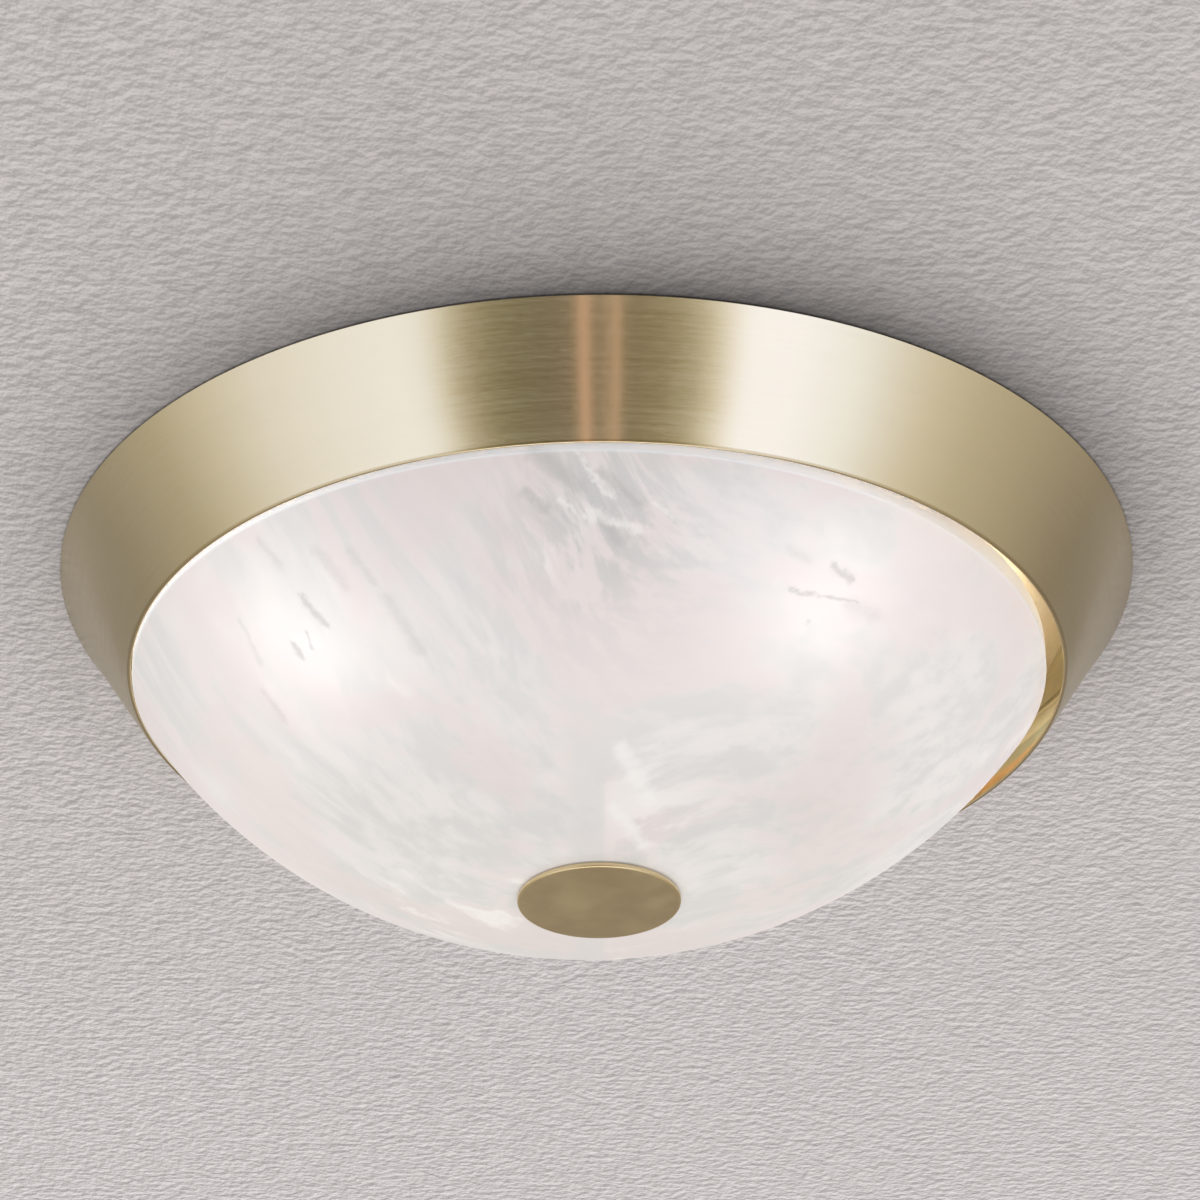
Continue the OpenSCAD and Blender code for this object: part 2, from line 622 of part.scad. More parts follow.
// Screw shell: a thin rolled thread on a ring that lies on the holder's floor
module screw_shell(side) color("gold") lamp(side) translate([0, 0, holder_floor])
  rotate_extrude($fn = mid) {
    turns = floor((shell_top_h - holder_floor - 3) / cap_pitch);
    steps = turns * 6;
    inside = [for (i = [0:steps]) let (z = 2 + i * cap_pitch / 6)
      [wave(z - 2, cap_pitch, shell_in_r, shell_in_r + shell_wave), z]];
    outside = [for (p = turned_about(inside)) [p[0] + shell_t, p[1]]];
    polygon(concat([[tip_r + 3, 0], [tip_r + 3, shell_t], [shell_in_r, shell_t]], inside, outside,
      [[shell_in_r + shell_t, 0]]));
  }
module left_screw_shell() screw_shell(-1);
module right_screw_shell() screw_shell(1);

// Centre spring: a bent brass leaf from the holder's floor to the bulb's contact
module centre_spring(side) color("gold") lamp(side) translate([0, 0, holder_floor]) {
  leaf_t = 0.5;
  leaf_w = 5;
  reach = tip_gap - rod_end_gap;
  translate([0, leaf_w / 2, 0]) rotate([90, 0, 0]) linear_extrude(leaf_w) polygon([
    [-tip_r, 0], [tip_r - 1, 0], [tip_r - 1, leaf_t], [leaf_t - tip_r + 1, leaf_t],
    [-1, reach - leaf_t], [2, reach - leaf_t], [2, reach], [-1.3, reach], [-tip_r, leaf_t]]);
}
module left_centre_spring() centre_spring(-1);
module right_centre_spring() centre_spring(1);

module holder_screws() color("silver") for (side = [-1, 1], s = [-1, 1])
  lamp(side) translate([0, s * holder_screw_gap / 2, 0]) {
    translate([0, 0, -bracket_t]) cylinder(r = holder_screw_r, h = bracket_t + holder_screw_grip,
      $fn = small);
    translate([0, 0, -bracket_t]) rotate([180, 0, 0]) slotted_head(holder_head_r, holder_head_h);
  }

// Terminal block: a base with two screw towers on each pole
module terminal_block() color("white") lamps() difference() {
  union() {
    translate([block_x - block_w / 2, block_y - block_len / 2, plate_z - block_base_h])
      cube([block_w, block_len, block_base_h]);
    at_poles() for (s = [-1, 1]) translate([0, s * tower_gap / 2, plate_z - block_h])
      cylinder(r = tower_r, h = block_h - pole_drop, $fn = small);
  }
  at_poles() {
    translate([0, block_len / 2 + past, pole_z]) rotate([90, 0, 0])
      cylinder(r = sleeve_r, h = block_len + 2 * past, $fn = small);
    for (s = [-1, 1]) translate([0, s * tower_gap / 2, plate_z - block_h - past])
      cylinder(r = pole_screw_r + slack, h = block_h - pole_drop + past, $fn = small);
  }
  translate([block_x - pole_pitch / 2, block_y, plate_z - block_base_h - past])
    cylinder(r = pole_screw_r / 2 + slack, h = block_base_h + 2 * past, $fn = small);
}

module terminal_sleeves() color("gold") lamps() at_poles()
  translate([0, block_len / 2 - 1, pole_z]) rotate([90, 0, 0]) difference() {
    cylinder(r = sleeve_r, h = block_len - 2, $fn = small);
    translate([0, 0, -past]) cylinder(r = sleeve_bore_r, h = block_len + past, $fn = small);
  }

module terminal_screws() color("silver") lamps() at_poles() for (s = [-1, 1])
  translate([0, s * tower_gap / 2, pole_z - sleeve_r]) rotate([180, 0, 0])
    slotted_head(pole_screw_r, pole_screw_h);

// Screw that holds the block, between two poles, with a nut above the plate
module block_screw() color("silver") lamps() translate([block_x - pole_pitch / 2, block_y, 0]) {
  thread_r = pole_screw_r / 2;
  translate([0, 0, plate_z - block_base_h]) {
    rotate([180, 0, 0]) slotted_head(pole_screw_r, 1.2);
    cylinder(r = thread_r, h = block_base_h + plate_t + block_nut_h + thread_end, $fn = small);
  }
  translate([0, 0, plate_top_z]) cylinder(d = block_nut_af / cos(30), h = block_nut_h, $fn = 6);
}

module earth_screw() color("silver") lamps() translate([earth_x, earth_y, 0]) {
  translate([0, 0, plate_z - tag_t]) rotate([180, 0, 0]) slotted_head(stud_head_r, stud_head_h);
  translate([0, 0, plate_z - tag_t])
    cylinder(r = stud_r, h = tag_t + plate_t + earth_nut_h + thread_end, $fn = small);
  translate([0, 0, plate_top_z]) cylinder(d = earth_nut_af / cos(30), h = earth_nut_h, $fn = 6);
}

// Ring tag under the earth screw, with a crimped barrel round the wire's end
module earth_tag() color("silver") lamps() {
  translate([earth_x, earth_y, plate_z - tag_t]) difference() {
    union() {
      cylinder(r = stud_head_r + 0.6, h = tag_t, $fn = mid);
      translate([-strap_len, -strap_w / 2, 0]) cube([strap_len - stud_r - slack - 0.8, strap_w, tag_t]);
    }
    translate([0, 0, -past]) cylinder(r = stud_r + slack, h = tag_t + 2 * past, $fn = small);
  }
  translate([barrel_x, earth_y, barrel_z]) rotate([0, 90, 0]) difference() {
    union() {
      cylinder(r = wire_r + 0.1 + barrel_wall, h = barrel_len, $fn = small);
      translate([barrel_z - plate_z, -strap_w / 2, barrel_len - 3]) cube([1.2, strap_w, 3]);
    }
    translate([0, 0, -past]) cylinder(r = wire_r + 0.1, h = barrel_len - 2 + past, $fn = small);
  }
}

module live_wire_left() color("saddlebrown") lamps() swept_wire(live_left_route);
module live_wire_right() color("saddlebrown") lamps() swept_wire(live_right_route);
module neutral_wire_left() color("royalblue") lamps() swept_wire(neutral_left_route);
module neutral_wire_right() color("royalblue") lamps() swept_wire(neutral_right_route);
module earth_wire() color("yellowgreen") lamps() swept_wire(earth_route);

// Clip that holds the two long wires up to the plate
module wire_clip() color("white") lamps() translate([clip_x, clip_y, plate_z])
  rotate([0, 0, clip_turn]) {
    translate([-clip_len / 2, -clip_w / 2, -clip_h - clip_t]) cube([clip_len, clip_w, clip_t]);
    for (s = [-1, 1]) {
      translate([-clip_len / 2, s * (clip_w - clip_t) / 2 - clip_t / 2, -clip_h])
        cube([clip_len, clip_t, clip_h]);
      translate([-clip_len / 2, s * clip_w / 2 + (s - 1) * clip_foot / 2, -clip_t])
        cube([clip_len, clip_foot, clip_t]);
    }
  }

module glass_bowl() color("#f0eae6") translate([-bowl_off, 0, 0]) difference() {
  rotate_extrude($fn = big) polygon(concat(
    [[bowl_hole_r, bowl_z]],
    arc(bowl_flat_r, bowl_z + blend_r, blend_r, 0, blend_angle, 3),
    [for (i = [1:arc_steps]) arc(0, ball_z, ball_r, blend_angle, rim_angle, arc_steps)[i]],
    [[bowl_r, rim_z - rim_bevel], [bowl_r - rim_bevel, rim_z],
      [bowl_r - glass_t + rim_bevel, rim_z], [bowl_r - glass_t, rim_z - rim_bevel]],
    turned_about(arc(0, ball_z, ball_r - glass_t, blend_angle, rim_in_angle, arc_steps)),
    turned_about([for (i = [0:2]) arc(bowl_flat_r, bowl_z + blend_r, blend_r - glass_t, 0,
      blend_angle, 3)[i]]),
    [[bowl_hole_r, bowl_in_z]]));
}

// Finial: a thin crowned disc with a recess for its washer and a nut soldered in the middle
module finial_disc() color("#a89468") rotate_extrude($fn = big) polygon(concat(
  [[0, recess_z], [finial_washer_r + slack, recess_z], [finial_washer_r + slack, finial_top_z],
    [finial_r - finial_round, finial_top_z], [finial_r, finial_top_z - finial_round]],
  [for (i = [0:4]) let (a = 90 - 90 * i / 4) [finial_r - finial_round + finial_round * sin(a),
    finial_z + finial_round - finial_round * cos(a)]],
  [for (i = [1:4]) let (r = (finial_r - finial_round) * (1 - i / 4))
    [r, finial_z - finial_crown * (1 - pow(1 - i / 4, 2))]]));
module finial_nut() color("#a89468") translate([0, 0, boss_floor_z])
  washer(boss_r, rod_r + run_fit, boss_top_z - boss_floor_z);
module finial_washer() color("gainsboro") translate([0, 0, recess_z])
  washer(finial_washer_r, boss_r + slack, bowl_z - recess_z);

// A bulb's own axis, with +Z from its contact to its dome
module bulb(side) lamp(side) translate([0, 0, tip_h]) children();

module bulb_contact(side) color("gold") bulb(side) rotate_extrude($fn = small) polygon([
  [0, 0], [tip_r * 0.6, 0], [tip_r, tip_t * 0.6], [tip_r, tip_t], [0, tip_t]]);
module bulb_insulator(side) color("#202020") bulb(side) rotate_extrude($fn = small) polygon([
  [0, tip_t], [tip_r + 1, tip_t], [cap_r - 3, insulator_len + tip_t],
  [0, insulator_len + tip_t]]);
module bulb_cap(side) color("silver") bulb(side) rotate_extrude($fn = mid) {
  start = insulator_len + tip_t;
  turns = floor((cap_len - start - 2) / cap_pitch);
  polygon(concat([[0, start], [cap_r - 3, start]],
    [for (i = [0:turns * 6]) let (z = i * cap_pitch / 6)
      [wave(z, cap_pitch, cap_r - cap_thread, cap_r), start + 1.2 + z]],
    [[cap_r - cap_thread, cap_len], [0, cap_len]]));
}
module bulb_housing(side) color("white") bulb(side) rotate_extrude($fn = mid) polygon(concat(
  [[0, housing_start], [cap_r, housing_start], [neck_r, housing_start + 1.5]],
  [for (i = [1:8]) let (t = i / 8) [neck_r + (dome_base_r - neck_r) * (1 - cos(90 * t)) * 0.5
    + (dome_base_r - neck_r) * t * 0.5, housing_start + 1.5 + (dome_start - housing_start - 1.5) * t]],
  [[0, dome_start]]));
module bulb_dome(side) color("#fffbe8") bulb(side) translate([0, 0, dome_mid]) difference() {
  sphere(r = dome_r, $fn = mid);
  sphere(r = dome_r - dome_t, $fn = mid);
  translate([0, 0, -dome_r - dome_cut])
    cube([2 * dome_r + past, 2 * dome_r + past, 2 * dome_r], center = true);
}
module led_board(side) color("white") bulb(side) translate([0, 0, dome_start]) {
  cylinder(r = board_r, h = board_t, $fn = mid);
  for (i = [0:chip_count - 1]) rotate([0, 0, 360 * i / chip_count])
    translate([chip_ring_r - chip_size / 2, -chip_size / 2, board_t / 2])
      cube([chip_size, chip_size, board_t / 2 + chip_h]);
}

module left_bulb_contact() bulb_contact(-1);
module left_bulb_insulator() bulb_insulator(-1);
module left_bulb_cap() bulb_cap(-1);
module left_bulb_housing() bulb_housing(-1);
module left_bulb_dome() bulb_dome(-1);
module left_led_board() led_board(-1);
module right_bulb_contact() bulb_contact(1);
module right_bulb_insulator() bulb_insulator(1);
module right_bulb_cap() bulb_cap(1);
module right_bulb_housing() bulb_housing(1);
module right_bulb_dome() bulb_dome(1);
module right_led_board() led_board(1);

pan_ring();
back_plate();
ring_rivets();
ceiling_bar();
bar_screws();
stud_washers();
cap_nuts();
cable_grommet();
centre_rod();
rod_top_nut();
rod_top_washer();
lamp_bracket();
rod_lock_nut();
glass_stop_nut();
glass_stop_washer();
left_holder_body();
right_holder_body();
left_screw_shell();
right_screw_shell();
left_centre_spring();
right_centre_spring();
holder_screws();
terminal_block();
terminal_sleeves();
terminal_screws();
block_screw();
earth_screw();
earth_tag();
live_wire_left();
live_wire_right();
neutral_wire_left();
neutral_wire_right();
earth_wire();
wire_clip();
upper_seat_washer();
glass_bowl();
finial_disc();
finial_nut();
finial_washer();
left_bulb_contact();
left_bulb_insulator();
left_bulb_cap();
left_bulb_housing();
left_bulb_dome();
left_led_board();
right_bulb_contact();
right_bulb_insulator();
right_bulb_cap();
right_bulb_housing();
right_bulb_dome();
right_led_board();
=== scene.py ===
"""Looks for the glass ceiling light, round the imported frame, in metres.

The light hangs down along -Z from the ceiling at z = 0, and the camera looks up at it along +Y.
"""
import json
import math

import bpy
from mathutils import Matrix, Quaternion, Vector


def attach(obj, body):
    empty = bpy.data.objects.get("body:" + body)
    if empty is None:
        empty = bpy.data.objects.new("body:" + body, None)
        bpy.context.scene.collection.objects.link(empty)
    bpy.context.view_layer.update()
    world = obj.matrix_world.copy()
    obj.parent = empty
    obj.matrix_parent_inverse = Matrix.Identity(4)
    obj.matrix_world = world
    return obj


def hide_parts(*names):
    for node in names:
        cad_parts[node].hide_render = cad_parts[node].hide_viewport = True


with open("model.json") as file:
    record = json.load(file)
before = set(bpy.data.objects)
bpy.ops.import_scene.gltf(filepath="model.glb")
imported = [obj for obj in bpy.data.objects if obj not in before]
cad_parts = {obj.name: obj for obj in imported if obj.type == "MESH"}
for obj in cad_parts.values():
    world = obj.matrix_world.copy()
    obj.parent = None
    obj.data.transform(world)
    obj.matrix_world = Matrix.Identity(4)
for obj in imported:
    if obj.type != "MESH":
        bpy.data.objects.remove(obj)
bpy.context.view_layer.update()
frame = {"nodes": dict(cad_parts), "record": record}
MM = 0.001
SMOOTH_BELOW = math.radians(30)

# Sizes repeated from the part's source, in millimetres
PAN_R, LIP_R, PAN_H, SHEET = 200.0, 173.4, 42.0, 0.6
HEM_H, RIM_W, FLANGE_STEP, FLANGE_W = 6.0, 4.0, 1.0, 12.0
BALL_R, BOWL_DROP, RIM_BAND, GLASS_T = 205.8, 127.05, 8.1, 4.0
FLAT_R, BLEND_R, GLASS_HOLE_R, BOWL_OFF, GLASS_GAP = 27.0, 80.0, 12.0, 3.0, 0.35
FINIAL_R, FINIAL_T, FINIAL_GAP, CROWN = 29.5, 2.0, 0.3, 0.5
FINIAL_ROUND, WASHER_R, RECESS = 0.6, 21.2, 0.9
LAMP_TURN, LAMP_DROP, LAMP_BACK, TIP_H = -4.4, 44.0, 16.0, 15.0
DOME_R, DOME_T, DOME_MID, DOME_CUT = 26.0, 1.2, 62.0, 8.0
# Roundings of the ring's rim, the glass's rim and its hole in the looks, in millimetres
RIM_BEND, GLASS_ROUND, GROUND_EDGE = 0.9, 1.0, 0.5
# Hair gaps under the ceiling, at the hem and at the washer above the glass, in millimetres
CEILING_GAP, HEM_GAP, SEAT_GAP = 0.02, 0.05, 0.02

# Camera: its film and lens in millimetres, its distance, how steeply it looks up, tilt and aim
FILM_MM, LENS_MM, DISTANCE = 36.0, 130.38, 1.629
LOOK_UP, ROLL, AIM = math.radians(30.09), math.radians(-0.484), Vector((0.0012, 0.0, -0.0031))


# Modelling with Blender's tools

def deselect():
    """Leaves nothing selected."""
    bpy.ops.object.select_all(action="DESELECT")


def edit():
    """Opens the new mesh for editing, with all of it selected."""
    bpy.ops.object.mode_set(mode="EDIT")
    bpy.ops.mesh.select_all(action="SELECT")


def done(name):
    """Leaves edit mode, puts the object's place in its mesh and shades it."""
    bpy.ops.object.mode_set(mode="OBJECT")
    piece = bpy.context.object
    piece.name = piece.data.name = name
    bpy.ops.object.transform_apply(location=True, rotation=True, scale=True)
    bpy.ops.object.shade_smooth_by_angle(angle=SMOOTH_BELOW)
    return piece


def place(piece, turn):
    """Carries the whole mesh to its place."""
    piece.data.transform(turn)
    piece.data.update()
    return piece


def turned(name, outline, sides, ring=True):
    """A turned piece: a circle drawn along an outline of (radius, height) points in millimetres.

    The last point meets the first again on a ring, and both ends close on the axis otherwise.
    """
    deselect()
    radius, height = outline[0]
    bpy.ops.mesh.primitive_circle_add(
        vertices=sides, radius=radius * MM, location=(0, 0, height * MM))
    edit()
    path = outline[1:] + (outline[:1] if ring else [])
    for next_radius, next_height in path:
        bpy.ops.mesh.extrude_region_move(
            TRANSFORM_OT_translate={"value": (0, 0, (next_height - height) * MM)})
        grow = next_radius / radius
        bpy.ops.transform.resize(value=(grow, grow, 1), center_override=(0, 0, 0))
        radius, height = next_radius, next_height
    if not ring:
        bpy.ops.mesh.merge(type="CENTER")
        close_start()
    bpy.ops.mesh.select_all(action="SELECT")
    bpy.ops.mesh.remove_doubles(threshold=1e-7)
    bpy.ops.mesh.normals_make_consistent(inside=False)
    return done(name)


def close_start():
    """Fills the first ring of a turned piece, towards its middle."""
    bpy.ops.mesh.select_all(action="DESELECT")
    bpy.ops.mesh.select_mode(type="EDGE")
    bpy.ops.mesh.select_non_manifold(extend=False)
    bpy.ops.mesh.extrude_region_move()
    bpy.ops.mesh.merge(type="CENTER")
    bpy.ops.mesh.select_mode(type="VERT")


def arc(middle, radius, start, end, steps):
    """Points of an arc, with angles in degrees from straight down."""
    turns = [math.radians(start + (end - start) * i / steps) for i in range(steps + 1)]
    return [(middle[0] + radius * math.sin(a), middle[1] - radius * math.cos(a)) for a in turns]


def wear(piece, body, material_slot, *nodes):
    """Puts a piece on its body, in the place of its CAD nodes, with its finish."""
    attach(piece, body)
    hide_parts(*nodes)
    piece.data.materials.clear()
    piece.data.materials.append(FINISHES[material_slot])
    return piece


# Materials

def with_alpha(colour):
    """A colour that nodes can hold, or the output that it comes from."""
    return colour if isinstance(colour, bpy.types.NodeSocket) else (*colour, 1.0)


class Nodes:
    """A node tree under construction."""

    def __init__(self, tree):
        self.tree = tree

    def node(self, kind, **settings):
        """A new node with its settings."""
        made = self.tree.nodes.new("ShaderNode" + kind)
        for key, value in settings.items():
            setattr(made, key, value)
        return made

    def put(self, socket, value):
        """Links an output, or writes a plain value."""
        if isinstance(value, bpy.types.NodeSocket):
            self.tree.links.new(value, socket)
        else:
            socket.default_value = value

    def math(self, operation, a, b=0.0, c=0.0, clamp=False):
        """A sum on up to three numbers."""
        made = self.node("Math", operation=operation, use_clamp=clamp)
        for socket, value in zip(made.inputs, (a, b, c)):
            self.put(socket, value)
        return made.outputs[0]

    def times(self, a, b, clamp=False):
        """One number times another."""
        return self.math("MULTIPLY", a, b, clamp=clamp)

    def plus(self, a, b):
        """One number and another."""
        return self.math("ADD", a, b)

    def vector(self, operation, a, b=(0.0, 0.0, 0.0), scale=1.0):
        """A sum on vectors, which gives a number for a length, a distance or a dot product."""
        made = self.node("VectorMath", operation=operation)
        self.put(made.inputs[0], a)
        self.put(made.inputs[1], b)
        if operation == "SCALE":
            self.put(made.inputs["Scale"], scale)
        return made.outputs["Value"] if operation in ("LENGTH", "DISTANCE", "DOT_PRODUCT") \
            else made.outputs["Vector"]

    def parts(self, vector):
        """The three numbers of a vector."""
        return self.node_in("SeparateXYZ", vector).outputs

    def node_in(self, kind, value):
        """A new node with a value in its first socket."""
        made = self.node(kind)
        self.put(made.inputs[0], value)
        return made

    def noise(self, where, scale, detail=3.0, roughness=0.5, distortion=0.0, w=None):
        """Cloudy noise, with a fourth coordinate where one is given."""
        made = self.node("TexNoise", noise_dimensions="3D" if w is None else "4D")
        self.put(made.inputs["Vector"], where)
        if w is not None:
            self.put(made.inputs["W"], w)
        for socket, value in (("Scale", scale), ("Detail", detail), ("Roughness", roughness),
                              ("Distortion", distortion)):
            self.put(made.inputs[socket], value)
        return made.outputs["Fac"]

    def ramp(self, value, low, high, to_low=0.0, to_high=1.0, kind="SMOOTHSTEP"):
        """A range of numbers turned into another one."""
        made = self.node("MapRange", interpolation_type=kind)
        for socket, number in zip(made.inputs, (value, low, high, to_low, to_high)):
            self.put(socket, number)
        return made.outputs["Result"]

    def mix(self, amount, a, b):
        """The first colour at nothing and the second at one."""
        made = self.node("Mix", data_type="RGBA")
        for socket, value in ((0, amount), (6, with_alpha(a)), (7, with_alpha(b))):
            self.put(made.inputs[socket], value)
        return made.outputs[2]


class Finish(Nodes):
    """A material under construction, on the coordinates of the object."""

    def __init__(self, name, roughness, metallic=0.0, **sockets):
        self.material = bpy.data.materials.new(name)
        self.material.use_nodes = True
        super().__init__(self.material.node_tree)
        self.shader = self.tree.nodes["Principled BSDF"]
        self.shader.inputs["Roughness"].default_value = roughness
        self.shader.inputs["Metallic"].default_value = metallic
        for socket, value in sockets.items():
            self.shader.inputs[socket.replace("_", " ")].default_value = value
        self.place = self.node("TexCoord").outputs["Object"]

    def colour(self, value):
        """Gives the finish its colour."""
        self.put(self.shader.inputs["Base Color"], with_alpha(value))

    def rough(self, value):
        """Gives the finish its roughness."""
        self.put(self.shader.inputs["Roughness"], value)

    def bump(self, height, strength, distance):
        """Gives the finish its fine relief."""
        made = self.node("Bump")
        self.put(made.inputs["Height"], height)
        self.put(made.inputs["Strength"], strength)
        self.put(made.inputs["Distance"], distance)
        self.put(self.shader.inputs["Normal"], made.outputs["Normal"])


def round_axis(finish):
    """Direction round the light's axis and distance across it, for marks that run in circles."""
    flat = finish.vector("MULTIPLY", finish.place, (1.0, 1.0, 0.0))
    across = finish.vector("LENGTH", flat)
    around = finish.vector("NORMALIZE", flat)
    height = finish.parts(finish.place)[2]
    return around, across, height


# Painted light inside the ring's wall, from the ceiling down: its tones, and its tones at a glancing
# angle
INNER_PAINTED_LIGHT = (0.92, 0.86, 0.66), (0.55, 0.54, 0.40), (0.80, 0.55, 0.30)
GLANCING_PAINTED_LIGHT = (1.0, 0.96, 0.88), (0.52, 0.55, 0.47), (0.68, 0.62, 0.48)
OUTSIDE_GLANCE, LIP_TONE = (0.80, 0.79, 0.75), (0.60, 0.51, 0.35)
# Heights in millimetres between which one tone turns into the next
OLIVE_TO_PALE, OLIVE_TO_COPPER = (-20.0, -16.0), (-27.0, -33.0)
WALL_TO_LIP = 1.0 - PAN_H, 0.5 - PAN_H


def between(finish, length, limits):
    """Nothing at the first of two lengths in millimetres and one at the second."""
    return finish.ramp(length, *(limit * MM for limit in limits))


def three_tones(finish, height, top, middle, bottom):
    """Three tones of painted light on the inside of the ring's wall, one above the other."""
    upper = finish.mix(between(finish, height, OLIVE_TO_PALE), middle, top)
    return finish.mix(between(finish, height, OLIVE_TO_COPPER), upper, bottom)


def inside_wall(finish, tint, roughness):
    """Adds the duller inside of the ring's wall, with light painted on it in three tones, and its
    lip.
    """
    around, _, height = round_axis(finish)
    facing = finish.vector("DOT_PRODUCT", around, finish.node("NewGeometry").outputs["Normal"])
    inner = finish.ramp(facing, -0.5, -0.75)
    # Painted light: the bulbs' warm light and its reflections, in three bands down the inside of the
    # wall
    tint = finish.mix(inner, tint, three_tones(finish, height, *INNER_PAINTED_LIGHT))
    # Painted reflection: the glancing tint inside, in the same three bands
    glance = finish.mix(inner, OUTSIDE_GLANCE, three_tones(finish, height, *GLANCING_PAINTED_LIGHT))
    finish.put(finish.shader.inputs["Specular Tint"], glance)
    finish.put(finish.shader.inputs["Anisotropic"], finish.ramp(inner, 0.0, 1.0, 1.0, 0.1))
    # A darker, warmer tone at the lip
    tint = finish.mix(between(finish, height, WALL_TO_LIP), tint, LIP_TONE)
    return tint, finish.math("MULTIPLY_ADD", inner, 0.35, roughness)


def brushed_marks(finish, fine):
    """Hairs and broad bands that run in circles about the light's axis."""
    around, across, height = round_axis(finish)
    level = finish.plus(across, height)
    hair = finish.noise(finish.vector("SCALE", around, scale=48.0), 1.0, detail=2.0,
                        w=finish.times(level, fine))
    band = finish.noise(finish.vector("SCALE", around, scale=2.0), 1.0, detail=3.0,
                        w=finish.times(level, fine * 0.12))
    return finish.plus(finish.times(hair, 0.6), finish.times(band, 0.4))


def brushed_round(name, colour, dark, roughness, fine, ring=False):
    """Brass brushed in circles about the light's axis."""
    finish = Finish(name, roughness, metallic=1.0, Anisotropic=1.0, Anisotropic_Rotation=0.25)
    marks = brushed_marks(finish, fine)
    cloud = finish.noise(finish.place, 14.0, detail=4.0)
    shade = finish.ramp(finish.plus(marks, finish.times(cloud, 0.3)), 0.40, 0.90)
    tint = finish.mix(shade, dark, colour)
    if ring:
        tint, roughness = inside_wall(finish, tint, roughness)
    finish.colour(tint)
    finish.rough(finish.plus(roughness, finish.ramp(marks, 0.3, 0.7, -0.05, 0.07, kind="LINEAR")))
    finish.bump(marks, 0.05, 0.00005)
    radial = finish.node("Tangent", direction_type="RADIAL", axis="Z")
    finish.put(finish.shader.inputs["Tangent"], radial.outputs["Tangent"])
    return finish.material


def ring_brass():
    """Satin brass of the ring, pale outside and duller inside, with light painted on its inside."""
    return brushed_round("ring_brass", (0.81, 0.745, 0.60), (0.765, 0.69, 0.535), 0.20, fine=4200.0,
                         ring=True)


def plate_brass():
    """Coarser brushed brass of the back plate."""
    return brushed_round("plate_brass", (0.70, 0.63, 0.46), (0.60, 0.53, 0.38), 0.42, fine=900.0)


def finial_brass():
    """Olive, softly mottled brass, with a highlight painted where the edge turns."""
    finish = Finish("finial_brass", 0.36, metallic=1.0, Anisotropic=0.3)
    _, across, _ = round_axis(finish)
    mottle = finish.noise(finish.place, 62.0, detail=4.0, roughness=0.55)
    fine = finish.noise(finish.place, 900.0, detail=2.0)
    face = finish.mix(finish.ramp(mottle, 0.30, 0.70), (0.58, 0.495, 0.32), (0.665, 0.575, 0.38))
    # Painted highlight: a paler ring where the edge turns
    edge = between(finish, across, (FINIAL_R - 0.9, FINIAL_R - 0.3))
    finish.colour(finish.mix(edge, face, (0.80, 0.66, 0.41)))
    finish.rough(finish.ramp(mottle, 0.3, 0.7, 0.30, 0.42))
    finish.bump(fine, 0.05, 0.00005)
    return finish.material


# Bright patches on the glass, where its bulbs are nearest: place in metres and size, and then the
# share of that size, the strength and the tone of their cores and of their skirts
GLOWS = (((-0.0980, -0.0987, -0.0777), 0.034), ((0.0781, -0.1170, -0.0728), 0.036),
         ((-0.0920, 0.1060, -0.0763), 0.034), ((0.0860, 0.1030, -0.0751), 0.036))
CORE_SIZE, CORE_GLOW, CORE_TONE = 0.85, 0.21, (1.0, 0.98, 0.97)
SKIRT_SIZE, SKIRT_GLOW, SKIRT_TONE = 2.1, 0.12, (1.0, 0.935, 0.935)
# Glow of the whole glass by place: two places in metres, and how strong it is at each
SIDE_GLOW, BACK_LOSS = (0.070, 0.150, 0.16, 0.30), (-0.02, 0.08, 0.0, 0.10)
LEFT_RIM_GLOW, RIGHT_RIM_LOSS = (-0.13, -0.04, 0.41, 0.23), (0.07, 0.13, 0.0, -0.20)
# Tones of the glass, and the painted shade of its rim band
GLASS_PALE, GLASS_GREY = (0.775, 0.765, 0.780), (0.675, 0.683, 0.696)
GLASS_PINK, GLASS_WHITE = (0.745, 0.682, 0.697), (0.88, 0.88, 0.89)
GLASS_DARK, GLASS_RIM_SHADE = (0.53, 0.54, 0.55), (0.72, 0.79, 0.88)
# Directions that the streaks run in on the left and on the right, and how far they are drawn out
LEFT_STREAKS, RIGHT_STREAKS = ((0.46, 0.44, -0.77), 0.14), ((0.88, 0.20, -0.43), 0.22)
# A darker patch in front and a white fold under it: place in metres and size
DARK_PATCH, WHITE_FOLD = ((0.001, -0.150, -0.062), 0.030), ((0.020, -0.058, -0.120), 0.022)
# Heights between which the ground rim's painted shade and glow begin, and sides and ends of the rod's
# shadow, in millimetres
RIM_BEGINS, SHADOW_LEFT, SHADOW_RIGHT = (-43.2, -41.5), (-14.0, -6.0), (3.5, 0.5)
SHADOW_ENDS = 100.0, 80.0
# How strongly the dark, faint and white marks, the fold and the rod's shadow show
DARK_SHOWS, FAINT_SHOWS, WHITE_SHOWS, SHADOW_SHOWS = 0.55, 0.45, 0.6, 0.65

